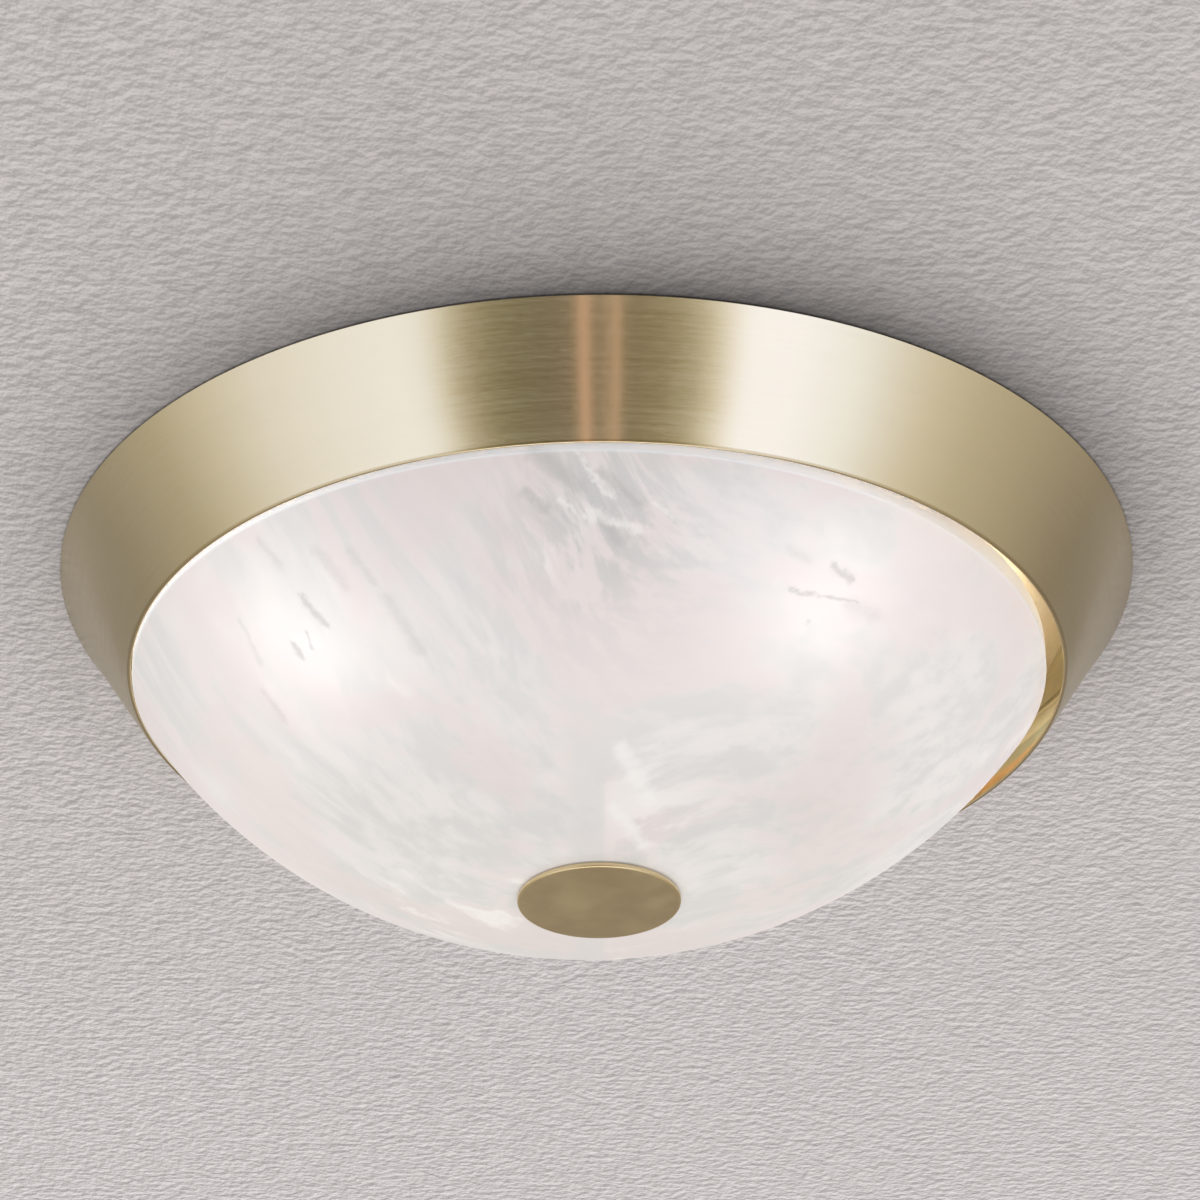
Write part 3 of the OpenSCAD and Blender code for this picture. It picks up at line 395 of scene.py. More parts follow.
# Short marks in the glass, each from one place to another with its half width, in metres
DARK_MARKS = (
    ((-0.1020, -0.1119, -0.0657), (-0.0938, -0.1075, -0.0744), 0.0021),
    ((-0.1056, -0.0950, -0.0752), (-0.1026, -0.0930, -0.0785), 0.0018),
    ((-0.1011, -0.1017, -0.0738), (-0.0988, -0.0980, -0.0777), 0.0014),
    ((0.0672, -0.1250, -0.0718), (0.0760, -0.1198, -0.0717), 0.0016),
    ((0.0760, -0.1204, -0.0712), (0.0898, -0.1118, -0.0699), 0.0013),
    ((0.0815, -0.1259, -0.0634), (0.0879, -0.1193, -0.0651), 0.0024),
    ((0.0719, -0.1147, -0.0778), (0.0730, -0.1128, -0.0787), 0.0012),
    ((-0.0235, -0.1588, -0.0535), (-0.0174, -0.1561, -0.0575), 0.0030),
    ((0.0028, -0.1532, -0.0615), (0.0081, -0.1481, -0.0667), 0.0034),
    ((-0.0203, -0.1676, -0.0424), (-0.0069, -0.1612, -0.0520), 0.0050),
    ((0.0016, -0.1645, -0.0478), (0.0150, -0.1564, -0.0568), 0.0030))
FAINT_MARKS = (
    ((-0.0958, -0.1277, -0.0563), (-0.0856, -0.1218, -0.0681), 0.0034),
    ((-0.1173, -0.1192, -0.0470), (-0.1089, -0.1170, -0.0563), 0.0026),
    ((-0.0841, -0.1324, -0.0592), (-0.0764, -0.1268, -0.0687), 0.0026),
    ((-0.1248, -0.0912, -0.0628), (-0.1174, -0.0811, -0.0748), 0.0022),
    ((-0.1180, -0.0707, -0.0795), (-0.1105, -0.0636, -0.0877), 0.0024),
    ((-0.0713, -0.1235, -0.0740), (-0.0607, -0.1118, -0.0871), 0.0040),
    ((0.0654, -0.1362, -0.0625), (0.0724, -0.1312, -0.0636), 0.0026),
    ((0.0873, -0.1121, -0.0713), (0.0960, -0.1054, -0.0707), 0.0050))
WHITE_MARKS = (
    ((-0.0081, -0.1693, -0.0412), (0.0055, -0.1585, -0.0552), 0.0015),
    ((-0.0019, -0.1556, -0.0589), (0.0146, -0.1510, -0.0630), 0.0026),
    ((0.0194, -0.1575, -0.0548), (0.0254, -0.1528, -0.0591), 0.0013),
    ((0.0084, -0.0848, -0.1114), (0.0181, -0.0613, -0.1195), 0.0042),
    ((0.0051, -0.0588, -0.1212), (0.0164, -0.0378, -0.1256), 0.0034),
    ((-0.0120, -0.1581, -0.0556), (-0.0019, -0.1538, -0.0610), 0.0015))


def near(finish, spot, size):
    """One at a place and nothing far from it."""
    away = finish.math("DIVIDE", finish.vector("DISTANCE", finish.place, spot), size)
    return finish.math("EXPONENT", finish.times(finish.math("POWER", away, 2.0), -1.0))


def streaked(finish, along, squeeze):
    """Coordinates squeezed along one direction, so that noise on them is drawn out that way."""
    direction = Vector(along).normalized()
    run = finish.vector("DOT_PRODUCT", finish.place, tuple(direction))
    pull = finish.vector("SCALE", tuple(direction), scale=finish.times(run, squeeze - 1.0))
    return finish.vector("ADD", finish.place, pull)


def marks_at(finish, where, rows):
    """One on short marks and nothing away from them."""
    total = 0.0
    for start, end, width in rows:
        along = Vector(end) - Vector(start)
        from_start = finish.vector("SUBTRACT", where, start)
        run = finish.math("DIVIDE", finish.vector("DOT_PRODUCT", from_start, tuple(along)),
                          along.length_squared, clamp=True)
        away = finish.vector("DISTANCE", from_start, finish.vector("SCALE", tuple(along), scale=run))
        total = finish.math("MAXIMUM", total, finish.ramp(away, width * 1.2, 0.0))
    return total


def ragged(finish, scale, reach):
    """Coordinates pushed about a little, which frays the edge of a mark."""
    push = finish.node("TexNoise")
    settings = ("Vector", finish.place), ("Scale", scale), ("Detail", 4.0), ("Roughness", 0.65)
    for socket, value in settings:
        finish.put(push.inputs[socket], value)
    away = finish.vector("SUBTRACT", push.outputs["Color"], (0.5, 0.5, 0.5))
    return finish.vector("ADD", finish.place, finish.vector("SCALE", away, scale=reach))


def rod_shadow(finish):
    """Faint upright shadow of the rod, in front of the finial and behind it."""
    x, y, _ = finish.parts(finish.place)
    band = finish.times(between(finish, x, SHADOW_LEFT), between(finish, x, SHADOW_RIGHT))
    return finish.times(band, between(finish, finish.math("ABSOLUTE", y), SHADOW_ENDS))


def drawn_out(finish):
    """Coordinates for streaks that slant one way on the left and another on the right."""
    run = finish.node("Mix", data_type="VECTOR")
    rightward = finish.ramp(finish.parts(finish.place)[0], -0.01, 0.05)
    left, right = (streaked(finish, *streaks) for streaks in (LEFT_STREAKS, RIGHT_STREAKS))
    for socket, value in ((0, rightward), (4, left), (5, right)):
        finish.put(run.inputs[socket], value)
    warp = finish.noise(finish.place, 14.0, detail=3.0)
    shift = finish.vector("SCALE", finish.node_in("CombineXYZ", warp).outputs[0], scale=0.03)
    return finish.vector("ADD", run.outputs[1], shift)


def alabaster(finish, fibres, folds, clouds):
    """Grey veils, pink clouds and white wisps."""
    veil = finish.ramp(finish.plus(finish.times(folds, 0.6), finish.times(fibres, 0.4)), 0.40, 0.60)
    pink = finish.ramp(finish.plus(clouds, finish.times(veil, 0.10)), 0.46, 0.66)
    patches = finish.noise(finish.place, 9.0, detail=3.0, distortion=0.6)
    wisps = finish.times(finish.ramp(folds, 0.56, 0.68), finish.ramp(patches, 0.50, 0.62))
    tint = finish.mix(veil, GLASS_GREY, GLASS_PALE)
    tint = finish.mix(finish.times(pink, 0.75), tint, GLASS_PINK)
    return finish.mix(finish.times(wisps, 0.8), tint, GLASS_WHITE)


def patched(finish, tint, fibres, folds):
    """Adds the darker patch in front and the white fold under it."""
    dark = finish.times(near(finish, *DARK_PATCH), finish.ramp(fibres, 0.58, 0.42, 0.0, 0.8))
    fold = finish.times(near(finish, *WHITE_FOLD), finish.ramp(folds, 0.46, 0.54))
    tint = finish.mix(dark, tint, GLASS_DARK)
    return finish.mix(finish.times(fold, WHITE_SHOWS), tint, GLASS_WHITE)


def marked(finish, tint):
    """Adds the short marks and the rod's shadow, and also tells where the dark marks are."""
    frayed = ragged(finish, 200.0, 0.007)
    dark, faint, white = (
        marks_at(finish, frayed, rows) for rows in (DARK_MARKS, FAINT_MARKS, WHITE_MARKS))
    dark = finish.math("MAXIMUM", dark, finish.times(faint, FAINT_SHOWS))
    tint = finish.mix(finish.times(dark, DARK_SHOWS), tint, GLASS_DARK)
    tint = finish.mix(finish.times(white, WHITE_SHOWS), tint, GLASS_WHITE)
    return finish.mix(finish.times(rod_shadow(finish), SHADOW_SHOWS), tint, GLASS_GREY), dark


def lit_from_inside(finish, tint, dark, rim_shade_and_glow):
    """Glow of the glass: most near the bulbs, more at its sides and its rim, less at its back."""
    x, y, _ = finish.parts(finish.place)
    core, skirt = 0.0, 0.0
    for spot, size in GLOWS:
        core = finish.plus(core, near(finish, spot, size * CORE_SIZE))
        skirt = finish.plus(skirt, near(finish, spot, size * SKIRT_SIZE))
    shine = finish.plus(finish.times(core, CORE_GLOW), finish.times(skirt, SKIRT_GLOW))
    sides = finish.ramp(finish.math("ABSOLUTE", x), *SIDE_GLOW)
    rim = finish.plus(finish.ramp(x, *LEFT_RIM_GLOW), finish.ramp(x, *RIGHT_RIM_LOSS))
    glow = finish.plus(finish.plus(shine, sides), finish.times(rim, rim_shade_and_glow))
    glow = finish.math("SUBTRACT", glow, finish.ramp(y, *BACK_LOSS))
    glow = finish.times(glow, finish.ramp(dark, 0.0, 1.0, 1.0, 0.70))
    tone = finish.mix(finish.times(skirt, 0.6), tint, finish.mix(core, SKIRT_TONE, CORE_TONE))
    finish.put(finish.shader.inputs["Emission Color"], tone)
    finish.put(finish.shader.inputs["Emission Strength"], glow)


def bowl_glass():
    """White alabaster glass: pink and grey clouds, drawn out in slanting streaks, lit from inside."""
    finish = Finish("bowl_glass", 0.38, IOR=1.45)
    run = drawn_out(finish)
    fibres = finish.noise(run, 150.0, detail=5.0, roughness=0.6)
    folds = finish.noise(run, 52.0, detail=5.0, roughness=0.58, distortion=0.3)
    clouds = finish.noise(finish.place, 17.0, detail=5.0, roughness=0.5, distortion=0.5)
    tint = patched(finish, alabaster(finish, fibres, folds, clouds), fibres, folds)
    tint, dark = marked(finish, tint)
    # Painted shade: the rim band, behind the ring's lip, is painted a darker, cooler grey
    rim_shade_and_glow = between(finish, finish.parts(finish.place)[2], RIM_BEGINS)
    tint = finish.mix(rim_shade_and_glow, tint, GLASS_RIM_SHADE)
    finish.colour(tint)
    lit_from_inside(finish, tint, dark, rim_shade_and_glow)
    finish.rough(finish.ramp(folds, 0.3, 0.7, 0.34, 0.44))
    finish.bump(clouds, 0.03, 0.0004)
    return finish.material


def metal(name, colour, dark, roughness, scale=320.0):
    """Plated or pressed metal: a fine mottled skin with faint rubs."""
    finish = Finish(name, roughness, metallic=1.0)
    patch = finish.noise(finish.place, scale, detail=4.0)
    broad = finish.noise(finish.place, scale * 0.12, detail=3.0)
    both = finish.plus(finish.times(patch, 0.5), finish.times(broad, 0.5))
    finish.colour(finish.mix(finish.ramp(both, 0.38, 0.62), dark, colour))
    finish.rough(finish.ramp(both, 0.35, 0.65, roughness - 0.06, roughness + 0.10))
    finish.bump(patch, 0.06, 0.00008)
    return finish.material


def spangled(name):
    """Galvanised sheet with its crystal spangle."""
    finish = Finish(name, 0.42, metallic=0.9)
    cells = finish.node("TexVoronoi", feature="F1")
    finish.put(cells.inputs["Vector"], finish.place)
    finish.put(cells.inputs["Scale"], 190.0)
    grain = finish.parts(cells.outputs["Color"])[0]
    finish.colour(finish.mix(grain, (0.52, 0.53, 0.54), (0.68, 0.69, 0.69)))
    finish.rough(finish.ramp(grain, 0.0, 1.0, 0.34, 0.50))
    finish.bump(finish.noise(finish.place, 700.0), 0.05, 0.00006)
    return finish.material


def moulded(name, colour, shade, roughness, grain=1600.0, strength=0.10, **sockets):
    """Moulded plastic, rubber or glazed clay: an even skin with slight clouding."""
    finish = Finish(name, roughness, **sockets)
    cloud = finish.noise(finish.place, 45.0, detail=3.0)
    skin = finish.noise(finish.place, grain, detail=2.0)
    finish.colour(finish.mix(finish.ramp(cloud, 0.35, 0.65), shade, colour))
    finish.rough(finish.ramp(cloud, 0.3, 0.7, roughness - 0.05, roughness + 0.06))
    finish.bump(skin, strength, 0.00008)
    return finish.material


def opal_dome():
    """Opal dome of a lit bulb, slightly clouded."""
    finish = Finish("bulb_opal", 0.28)
    cloud = finish.noise(finish.place, 60.0, detail=2.0)
    finish.colour(finish.mix(finish.ramp(cloud, 0.3, 0.7), (0.97, 0.94, 0.87), (0.99, 0.97, 0.92)))
    glow = finish.mix(cloud, (1.0, 0.91, 0.78), (1.0, 0.94, 0.84))
    finish.put(finish.shader.inputs["Emission Color"], glow)
    finish.put(finish.shader.inputs["Emission Strength"], 30.0)
    return finish.material


def striped_wire():
    """Green insulation with a yellow stripe along it."""
    finish = Finish("earth_insulation", 0.45)
    normal = finish.node("NewGeometry").outputs["Normal"]
    side = finish.vector("DOT_PRODUCT", normal, (0.55, 0.15, -0.82))
    cloud = finish.ramp(finish.noise(finish.place, 45.0), 0.35, 0.65)
    green = finish.mix(cloud, (0.09, 0.35, 0.06), (0.12, 0.42, 0.08))
    finish.colour(finish.mix(finish.ramp(side, 0.52, 0.60), green, (0.85, 0.66, 0.04)))
    finish.bump(finish.noise(finish.place, 1600.0), 0.10, 0.00008)
    return finish.material


def make_finishes():
    """All materials, by the names of their slots."""
    return {
        "ring_brass": ring_brass(),
        "plate_brass": plate_brass(),
        "finial_brass": finial_brass(),
        "bowl_glass": bowl_glass(),
        "zinc_steel": metal("zinc_steel", (0.66, 0.67, 0.68), (0.52, 0.53, 0.55), 0.34),
        "bar_steel": spangled("bar_steel"),
        "nut_brass": metal("nut_brass", (0.76, 0.62, 0.34), (0.64, 0.50, 0.25), 0.22, scale=240.0),
        "contact_brass": metal("contact_brass", (0.78, 0.62, 0.33), (0.62, 0.46, 0.22), 0.30),
        "bulb_nickel": metal("bulb_nickel", (0.72, 0.71, 0.68), (0.60, 0.59, 0.57), 0.20),
        "porcelain": moulded("porcelain", (0.88, 0.87, 0.83), (0.83, 0.82, 0.77), 0.16,
                             grain=500.0, strength=0.05, Coat_Weight=0.5, Coat_Roughness=0.08),
        "block_plastic": moulded("block_plastic", (0.86, 0.86, 0.84), (0.81, 0.81, 0.79), 0.45),
        "clip_plastic": moulded("clip_plastic", (0.83, 0.83, 0.81), (0.77, 0.77, 0.75), 0.48),
        "grommet_rubber": moulded("grommet_rubber", (0.045, 0.045, 0.047), (0.03, 0.03, 0.032), 0.62),
        "washer_silicone": moulded("washer_silicone", (0.80, 0.80, 0.77), (0.73, 0.73, 0.70), 0.50),
        "live_insulation": moulded("live_insulation", (0.22, 0.085, 0.035), (0.17, 0.065, 0.03),
                                   0.45),
        "neutral_insulation": moulded("neutral_insulation", (0.03, 0.12, 0.46), (0.02, 0.09, 0.38),
                                      0.45),
        "earth_insulation": striped_wire(),
        "bulb_black": moulded("bulb_black", (0.02, 0.02, 0.02), (0.03, 0.03, 0.03), 0.22),
        "bulb_white": moulded("bulb_white", (0.86, 0.86, 0.84), (0.81, 0.81, 0.79), 0.38),
        "bulb_opal": opal_dome(),
        "board_white": moulded("board_white", (0.88, 0.88, 0.86), (0.82, 0.82, 0.80), 0.40),
    }


FINISHES = make_finishes()


def finish_cad_nodes():
    """Gives each CAD node the material of its slot."""
    slots = {row["node"]: row["material_slot"] for row in frame["record"]["subparts"]}
    for name, node in frame["nodes"].items():
        node.data.materials.clear()
        node.data.materials.append(FINISHES[slots[name]])


# Pieces

def brass_ring():
    """Spun ring: rounded rim at the ceiling, a sloping wall and a folded hem at the lip."""
    slope = (PAN_R - LIP_R) / PAN_H
    wall = SHEET * math.hypot(1, slope)
    lean = math.degrees(math.atan(slope))
    lip_in = LIP_R - 2 * wall
    hem_top = -PAN_H + HEM_H
    flange_out, flange_under = PAN_R - RIM_W - FLANGE_STEP, -FLANGE_STEP - SHEET
    rim = arc((PAN_R - RIM_BEND, -RIM_BEND), RIM_BEND, 178, 90 + lean * 0.2, 8)
    lip_round = (LIP_R - lip_in) / 2
    lip = arc(((LIP_R + lip_in) / 2, -PAN_H + lip_round), lip_round,
              90 - lean * 0.6, -90 - lean * 0.6, 10)
    outside = [(LIP_R + slope * z, -PAN_H + z) for z in (36.0, 24.0, 12.0, 3.0)]
    hem = [(lip_in + slope * 3, -PAN_H + 3), (lip_in + slope * HEM_H, hem_top),
           (lip_in + slope * HEM_H + wall, hem_top + HEM_GAP)]
    inside_top = PAN_R - slope * SHEET - wall
    inside = [(inside_top - slope * (z - SHEET), -z) for z in (28.0, 18.0, 8.0, 1.2)]
    flange = [(PAN_R - 1.7, -SHEET), (PAN_R - RIM_W - SHEET / 2, -SHEET),
              (flange_out - SHEET / 2, flange_under), (flange_out - FLANGE_W, flange_under),
              (flange_out - FLANGE_W, -FLANGE_STEP), (flange_out, -FLANGE_STEP)]
    start = [(PAN_R - RIM_W + 0.3, -CEILING_GAP)]
    ring = turned("brass_ring", start + rim + outside + lip + hem + inside + flange, 256)
    return wear(ring, "fixture", "ring_brass", "pan_ring")


def glass_bowl():
    """Bowl of the ball's curve, blended into a flat bottom, with a ground rim and a ground hole.

    Its wall is thinner by a hair than the part's, so that it clears the washer above it.
    """
    bottom = -BOWL_DROP
    wall = GLASS_T - SEAT_GAP
    lean = math.degrees(math.asin(FLAT_R / (BALL_R - BLEND_R)))
    ball_z = bottom + BLEND_R + math.sqrt((BALL_R - BLEND_R) ** 2 - FLAT_R ** 2)
    slope = (PAN_R - LIP_R) / PAN_H
    rim_r = LIP_R - 2 * SHEET * math.hypot(1, slope) - BOWL_OFF - GLASS_GAP
    rim_lean = math.degrees(math.asin(rim_r / BALL_R))
    inner_lean = math.degrees(math.asin((rim_r - wall) / (BALL_R - wall)))
    outside = arc((FLAT_R, bottom + BLEND_R), BLEND_R, 0, lean, 5) + \
        arc((0, ball_z), BALL_R, lean, rim_lean, 40)[1:]
    inside = arc((0, ball_z), BALL_R - wall, inner_lean, lean, 40) + \
        arc((FLAT_R, bottom + BLEND_R), BLEND_R - wall, lean, 0, 5)[1:]
    rim_z = ball_z - math.sqrt(BALL_R ** 2 - rim_r ** 2) + RIM_BAND
    rim = arc((rim_r - GLASS_ROUND, rim_z - GLASS_ROUND), GLASS_ROUND, 95, 180, 5) + \
        arc((rim_r - wall + GLASS_ROUND, rim_z - GLASS_ROUND), GLASS_ROUND, 180, 265, 5)
    hole_out = GLASS_HOLE_R + GROUND_EDGE
    outline = [(GLASS_HOLE_R, bottom + GROUND_EDGE), (hole_out, bottom)] + outside + rim + inside + \
        [(hole_out, bottom + wall), (GLASS_HOLE_R, bottom + wall - GROUND_EDGE)]
    bowl = turned("alabaster_bowl", outline, 256)
    place(bowl, Matrix.Translation((-BOWL_OFF * MM, 0, 0)))
    return wear(bowl, "bowl", "bowl_glass", "glass_bowl")


def finial():
    """Crowned disc with a rounded edge and a recess for its washer."""
    top = -BOWL_DROP - FINIAL_GAP
    face = top - FINIAL_T
    flat = FINIAL_R - FINIAL_ROUND
    back_round = FINIAL_ROUND * 0.6
    recess = [(WASHER_R * 0.4, top - RECESS), (WASHER_R, top - RECESS), (WASHER_R, top), (flat, top)]
    edge = arc((flat, top - back_round), back_round, 170, 100, 4) + \
        [(FINIAL_R, top - FINIAL_ROUND)] + arc((flat, face + FINIAL_ROUND), FINIAL_ROUND, 90, 0, 6)
    crown = [(flat * t, face - CROWN * (1 - t * t)) for t in (0.86, 0.7, 0.5, 0.3, 0.1)]
    disc = turned("finial_face", recess + edge + crown, 160, ring=False)
    return wear(disc, "finial", "finial_brass", "finial_disc")


def lamp_frame(side):
    """From a lamp's own axis, which points out of its holder, to the light's frame."""
    return Matrix.Rotation(math.radians(LAMP_TURN), 4, "Z") @ \
        Matrix.Translation((side * LAMP_BACK * MM, 0, -LAMP_DROP * MM)) @ \
        Matrix.Rotation(math.radians(90 * side), 4, "Y") @ Matrix.Translation((0, 0, TIP_H * MM))


def bulb_dome(bulb, side):
    """Opal dome with a real wall, open where it meets the housing."""
    cut = -math.degrees(math.asin(DOME_CUT / DOME_R))
    outside = arc((0, DOME_MID), DOME_R, 90 + cut, 176, 22)
    inner_cut = -math.degrees(math.asin(DOME_CUT / (DOME_R - DOME_T)))
    inside = arc((0, DOME_MID), DOME_R - DOME_T, 176, 90 + inner_cut, 22)
    dome = turned(bulb + "_dome", outside + inside, 96)
    return wear(place(dome, lamp_frame(side)), bulb, "bulb_opal", bulb + "_dome")


# Stage, lights and camera

# Opening of the ceiling over the light: its radius and its height in metres, and how many times
# wider the ceiling is
OPENING_R, OPENING_Z, CEILING_REACH = 0.1985, 0.0001, 40
# Tones of the plaster, and its painted shade on the left and the right, which only the brass mirrors
PLASTER_TONES = (0.575, 0.560, 0.590), (0.615, 0.598, 0.630)
MIRRORED_SHADE_TONES = (0.35, 0.33, 0.30), (0.30, 0.28, 0.25)
# How far aside in metres those begin and are full, and how much further for each metre of depth
FAR_BEGINS, FAR_FULL, FAR_SLANT = 0.235, 0.290, 0.12
# Painted shadow round the light: its middle, radius and softness in metres, and how strongly it shows
PAINTED_SHADOW_MIDDLE, PAINTED_SHADOW_R, PAINTED_SHADOW_SOFT, PAINTED_SHADOW_SHOWS = (0.007, -0.030, 0.0), 0.175, 0.028, 0.66


def stipple(finish):
    """Fine grain of the plaster, and painted light and shade of its relief as the panel beyond the
    light rakes it.
    """
    stretched = finish.vector("MULTIPLY", finish.place, (0.95, 1.0, 1.0))
    beyond = finish.vector("ADD", stretched, (0.0002, 0.0009, 0.0))
    grain, next_grain = (
        finish.noise(where, 240.0, detail=4.0, roughness=0.55) for where in (stretched, beyond))
    slope = finish.math("SUBTRACT", grain, next_grain)
    relief = finish.ramp(slope, -0.10, 0.10, -0.5, 0.5, kind="LINEAR")
    depth = finish.ramp(finish.parts(finish.place)[1], -0.4, 0.6, 0.36, 0.66, kind="LINEAR")
    lumps = finish.times(finish.math("SUBTRACT", finish.noise(finish.place, 90.0), 0.5), 0.32)
    return grain, finish.math("MULTIPLY_ADD", relief, depth, lumps)


def seen_from_below(finish, path):
    """Lets the camera see through the ceiling from above."""
    above = finish.node("NewGeometry").outputs["Backfacing"]
    blend = finish.node("MixShader")
    finish.put(blend.inputs[0], finish.times(above, path.outputs["Is Camera Ray"]))
    finish.put(blend.inputs[1], finish.shader.outputs[0])
    finish.put(blend.inputs[2], finish.node("BsdfTransparent").outputs[0])
    finish.put(finish.tree.nodes["Material Output"].inputs["Surface"], blend.outputs[0])


def plaster():
    """Plaster with a painted shadow close round the light, and painted shade far to its left and
    right.
    """
    finish = Finish("ceiling_plaster", 0.9)
    path = finish.node("LightPath")
    x, y, _ = finish.parts(finish.place)
    grain, relief = stipple(finish)
    tint = finish.mix(finish.noise(finish.place, 5.0, detail=3.0), *PLASTER_TONES)
    # Painted light and shade: the raked relief lightens and darkens the plaster's colour
    tint = finish.vector("SCALE", tint, scale=finish.plus(relief, 1.0))
    # Painted shade far to the left and the right, seen only in the brass's reflections
    aside = finish.math("SUBTRACT", finish.math("ABSOLUTE", x), finish.times(y, FAR_SLANT))
    mirrored = finish.times(finish.ramp(aside, FAR_BEGINS, FAR_FULL), path.outputs["Is Glossy Ray"])
    shaded_far_side = finish.mix(finish.ramp(x, -0.1, 0.1), *MIRRORED_SHADE_TONES)
    tint = finish.mix(mirrored, tint, shaded_far_side)
    # Painted shadow of the light on the plaster, darkest close round it and on the camera's side
    away = finish.math("SUBTRACT", finish.vector("DISTANCE", finish.place, PAINTED_SHADOW_MIDDLE), PAINTED_SHADOW_R)
    grey = finish.math("EXPONENT", finish.math("DIVIDE", away, -PAINTED_SHADOW_SOFT))
    finish.colour(finish.mix(finish.times(grey, PAINTED_SHADOW_SHOWS, clamp=True), tint, (0.0, 0.0, 0.0)))
    finish.bump(grain, 0.7, 0.0016)
    seen_from_below(finish, path)
    return finish.material


def backdrop():
    """Plain pale ceiling with a round opening over the light, which is seen from below only."""
    deselect()
    bpy.ops.mesh.primitive_circle_add(vertices=256, radius=OPENING_R, location=(0, 0, OPENING_Z))
    edit()
    bpy.ops.mesh.extrude_region_move()
    bpy.ops.transform.resize(value=(CEILING_REACH, CEILING_REACH, 1), center_override=(0, 0, 0))
    bpy.ops.mesh.select_all(action="SELECT")
    bpy.ops.mesh.normals_make_consistent(inside=False)
    ceiling = done("ceiling")
    if ceiling.data.polygons[0].normal.z > 0:
        ceiling.data.flip_normals()
    ceiling.data.materials.append(plaster())


# Studio walls all round, as seen from the light: degrees from the camera to its right, and tone
WALL_TONES = (
    (-180, (0.44, 0.38, 0.32)), (-124, (0.34, 0.30, 0.22)), (-100, (0.55, 0.50, 0.37)),
    (-86, (0.81, 0.76, 0.65)), (-72, (1.01, 1.00, 1.00)), (-42, (1.13, 1.16, 1.24)),
    (-36, (1.01, 1.03, 1.07)), (-33.8, (0.86, 0.81, 0.69)), (-30.8, (0.56, 0.50, 0.34)),
    (-27, (0.34, 0.29, 0.17)), (-21, (0.21, 0.18, 0.09)), (-12, (0.16, 0.13, 0.06)),
    (-7, (0.18, 0.14, 0.075)), (-4, (0.20, 0.155, 0.08)), (1, (0.20, 0.155, 0.08)),
    (6, (0.20, 0.16, 0.08)), (8.3, (0.20, 0.16, 0.08)), (15.4, (0.28, 0.225, 0.12)),
    (21.6, (0.43, 0.38, 0.24)), (26.6, (0.74, 0.68, 0.51)), (29.6, (1.03, 0.98, 0.93)),
    (32.4, (1.23, 1.27, 1.44)), (42, (1.27, 1.30, 1.52)), (57, (1.14, 1.20, 1.30)),
    (72, (0.86, 0.80, 0.69)), (86, (0.64, 0.58, 0.44)), (124, (0.31, 0.26, 0.18)),
    (180, (0.44, 0.38, 0.32)))

# Copper strips in the dim gap: degrees from the camera to its right, half width and tone
STRIPS = (
    (-2.3, 1.0, (1.15, 0.68, 0.47)), (2.4, 0.5, (0.50, 0.34, 0.23)), (4.7, 0.7, (1.15, 0.72, 0.50)))

# Warm floor, soft panel below and sky: degrees of height where each begins and is full, and tone
LEVELS = (
    (-58, -74, (0.36, 0.32, 0.23)), (-64, -78, (2.4, 2.35, 2.3)), (4, 20, (0.95, 0.95, 0.95)))
# What the camera itself sees where there is no ceiling
SHOWN_TONE = (0.62, 0.60, 0.59, 1.0)


def wall_tones(sky, azimuth):
    """Tones of the studio's walls all round, with the copper strips on them."""
    walls = sky.node("ValToRGB")
    stops = walls.color_ramp.elements
    for index, (degrees, tone) in enumerate(WALL_TONES):
        place_round = (degrees + 180) / 360
        stop = stops[index] if index < 2 else stops.new(place_round)
        stop.position, stop.color = place_round, (*tone, 1.0)
    sky.put(walls.inputs[0], sky.ramp(azimuth, -math.pi, math.pi, kind="LINEAR"))
    light = walls.outputs[0]
    for middle, half, tone in STRIPS:
        aside = sky.math("ABSOLUTE", sky.math("SUBTRACT", azimuth, math.radians(middle)))
        strip = sky.ramp(aside, math.radians(half), math.radians(half * 0.5))
        light = sky.mix(strip, light, tone)
    return light


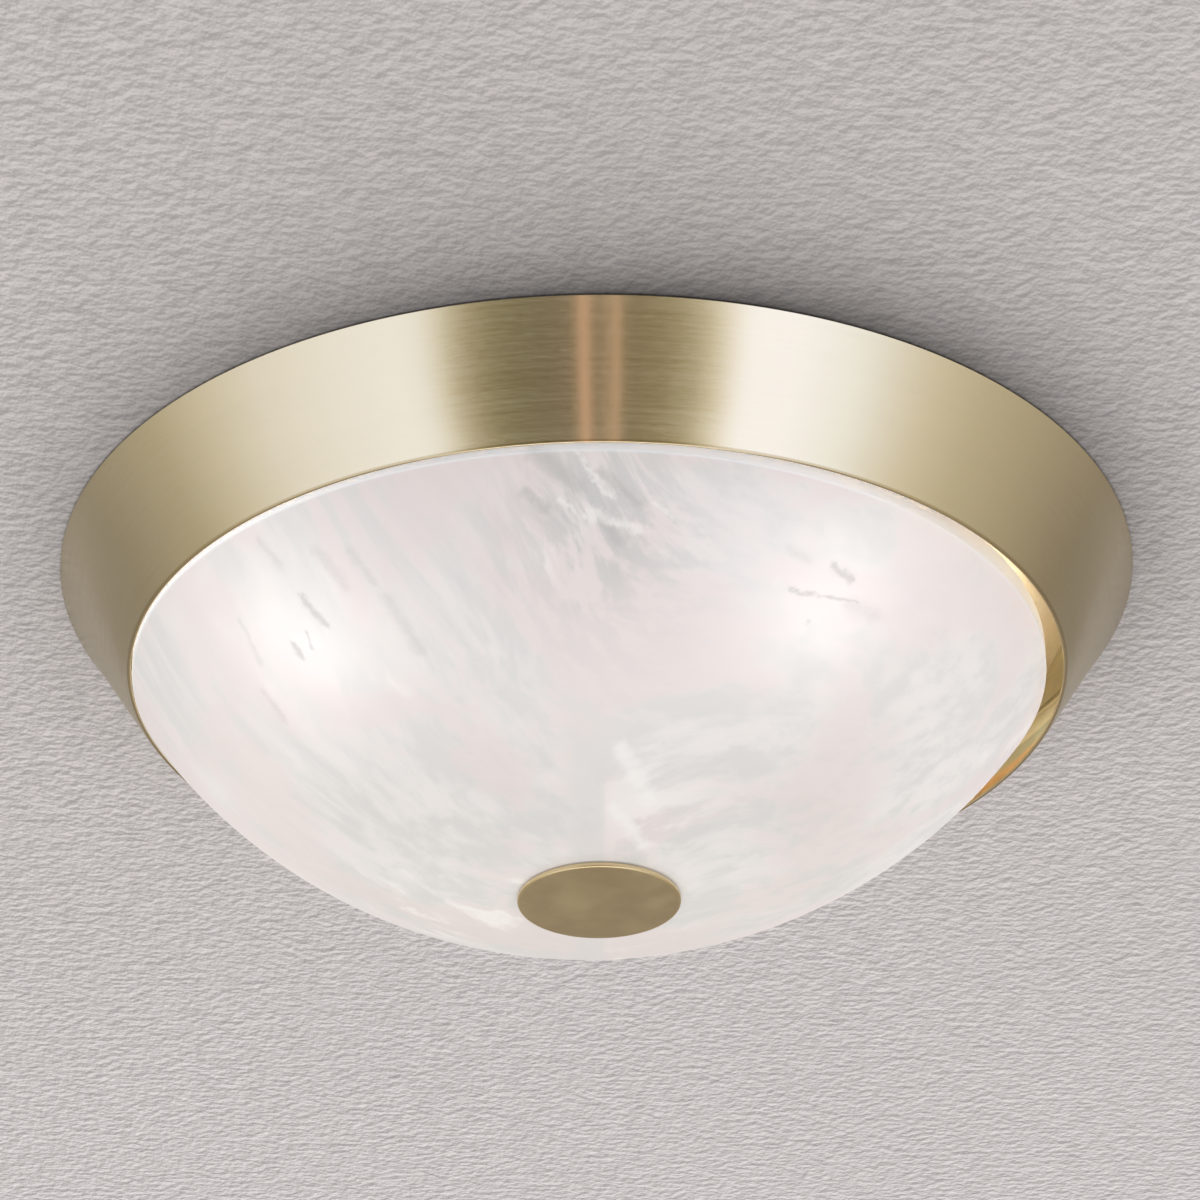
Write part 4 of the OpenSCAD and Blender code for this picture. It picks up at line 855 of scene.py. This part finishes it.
def studio():
    """Studio walls as seen from the light: a wide soft box on each side of the camera, a dim warm
    gap between them with copper strips, a soft panel below and a pale sky above the ceiling."""
    world = bpy.data.worlds.new("studio")
    bpy.context.scene.world = world
    world.use_nodes = True
    sky = Nodes(world.node_tree)
    x, y, z = sky.parts(sky.node("TexCoord").outputs["Generated"])
    light = wall_tones(sky, sky.math("ARCTAN2", x, sky.times(y, -1.0)))
    height = sky.math("ARCSINE", z)
    for begins, full, tone in LEVELS:
        light = sky.mix(sky.ramp(height, math.radians(begins), math.radians(full)), light, tone)
    shown = sky.node("MixShader")
    sky.put(shown.inputs[0], sky.node("LightPath").outputs["Is Camera Ray"])
    sky.put(shown.inputs[1], sky.node_in("Background", light).outputs[0])
    sky.put(shown.inputs[2], sky.node_in("Background", SHOWN_TONE).outputs[0])
    sky.put(sky.tree.nodes["World Output"].inputs["Surface"], shown.outputs[0])


# Panel beyond the light: its width and height, its place in metres, and its radiance
PANEL_SIZE, PANEL_PLACE, PANEL_RADIANCE = (3.4, 1.3), (0, 3.0, -1.25), 3.2


def raking_light():
    """Wide panel beyond the light, low along the ceiling, whose shadow falls towards the camera."""
    data = bpy.data.lights.new("raking_panel", "AREA")
    data.shape = "RECTANGLE"
    data.size, data.size_y = PANEL_SIZE
    data.energy = PANEL_RADIANCE * math.pi * data.size * data.size_y
    panel = bpy.data.objects.new("raking_panel", data)
    panel.location = PANEL_PLACE
    panel.rotation_euler = panel.location.to_track_quat("Z", "Y").to_euler()
    panel.visible_camera = panel.visible_glossy = False
    bpy.context.collection.objects.link(panel)


def photograph_camera():
    """Camera that looks up at the light as the photograph does."""
    towards = Vector((0, math.cos(LOOK_UP), math.sin(LOOK_UP)))
    data = bpy.data.cameras.new("camera")
    data.sensor_width, data.lens = FILM_MM, LENS_MM
    camera = bpy.data.objects.new("camera", data)
    camera.location = AIM - towards * DISTANCE
    rolled = towards.to_track_quat("-Z", "Y") @ Quaternion((0, 0, 1), ROLL)
    camera.rotation_euler = rolled.to_euler()
    bpy.context.collection.objects.link(camera)
    bpy.context.scene.camera = camera


photograph_camera()
studio()
raking_light()
backdrop()
finish_cad_nodes()
brass_ring()
glass_bowl()
finial()
bulb_dome("left_bulb", -1)
bulb_dome("right_bulb", 1)

bpy.context.scene.view_settings.view_transform = "Standard"
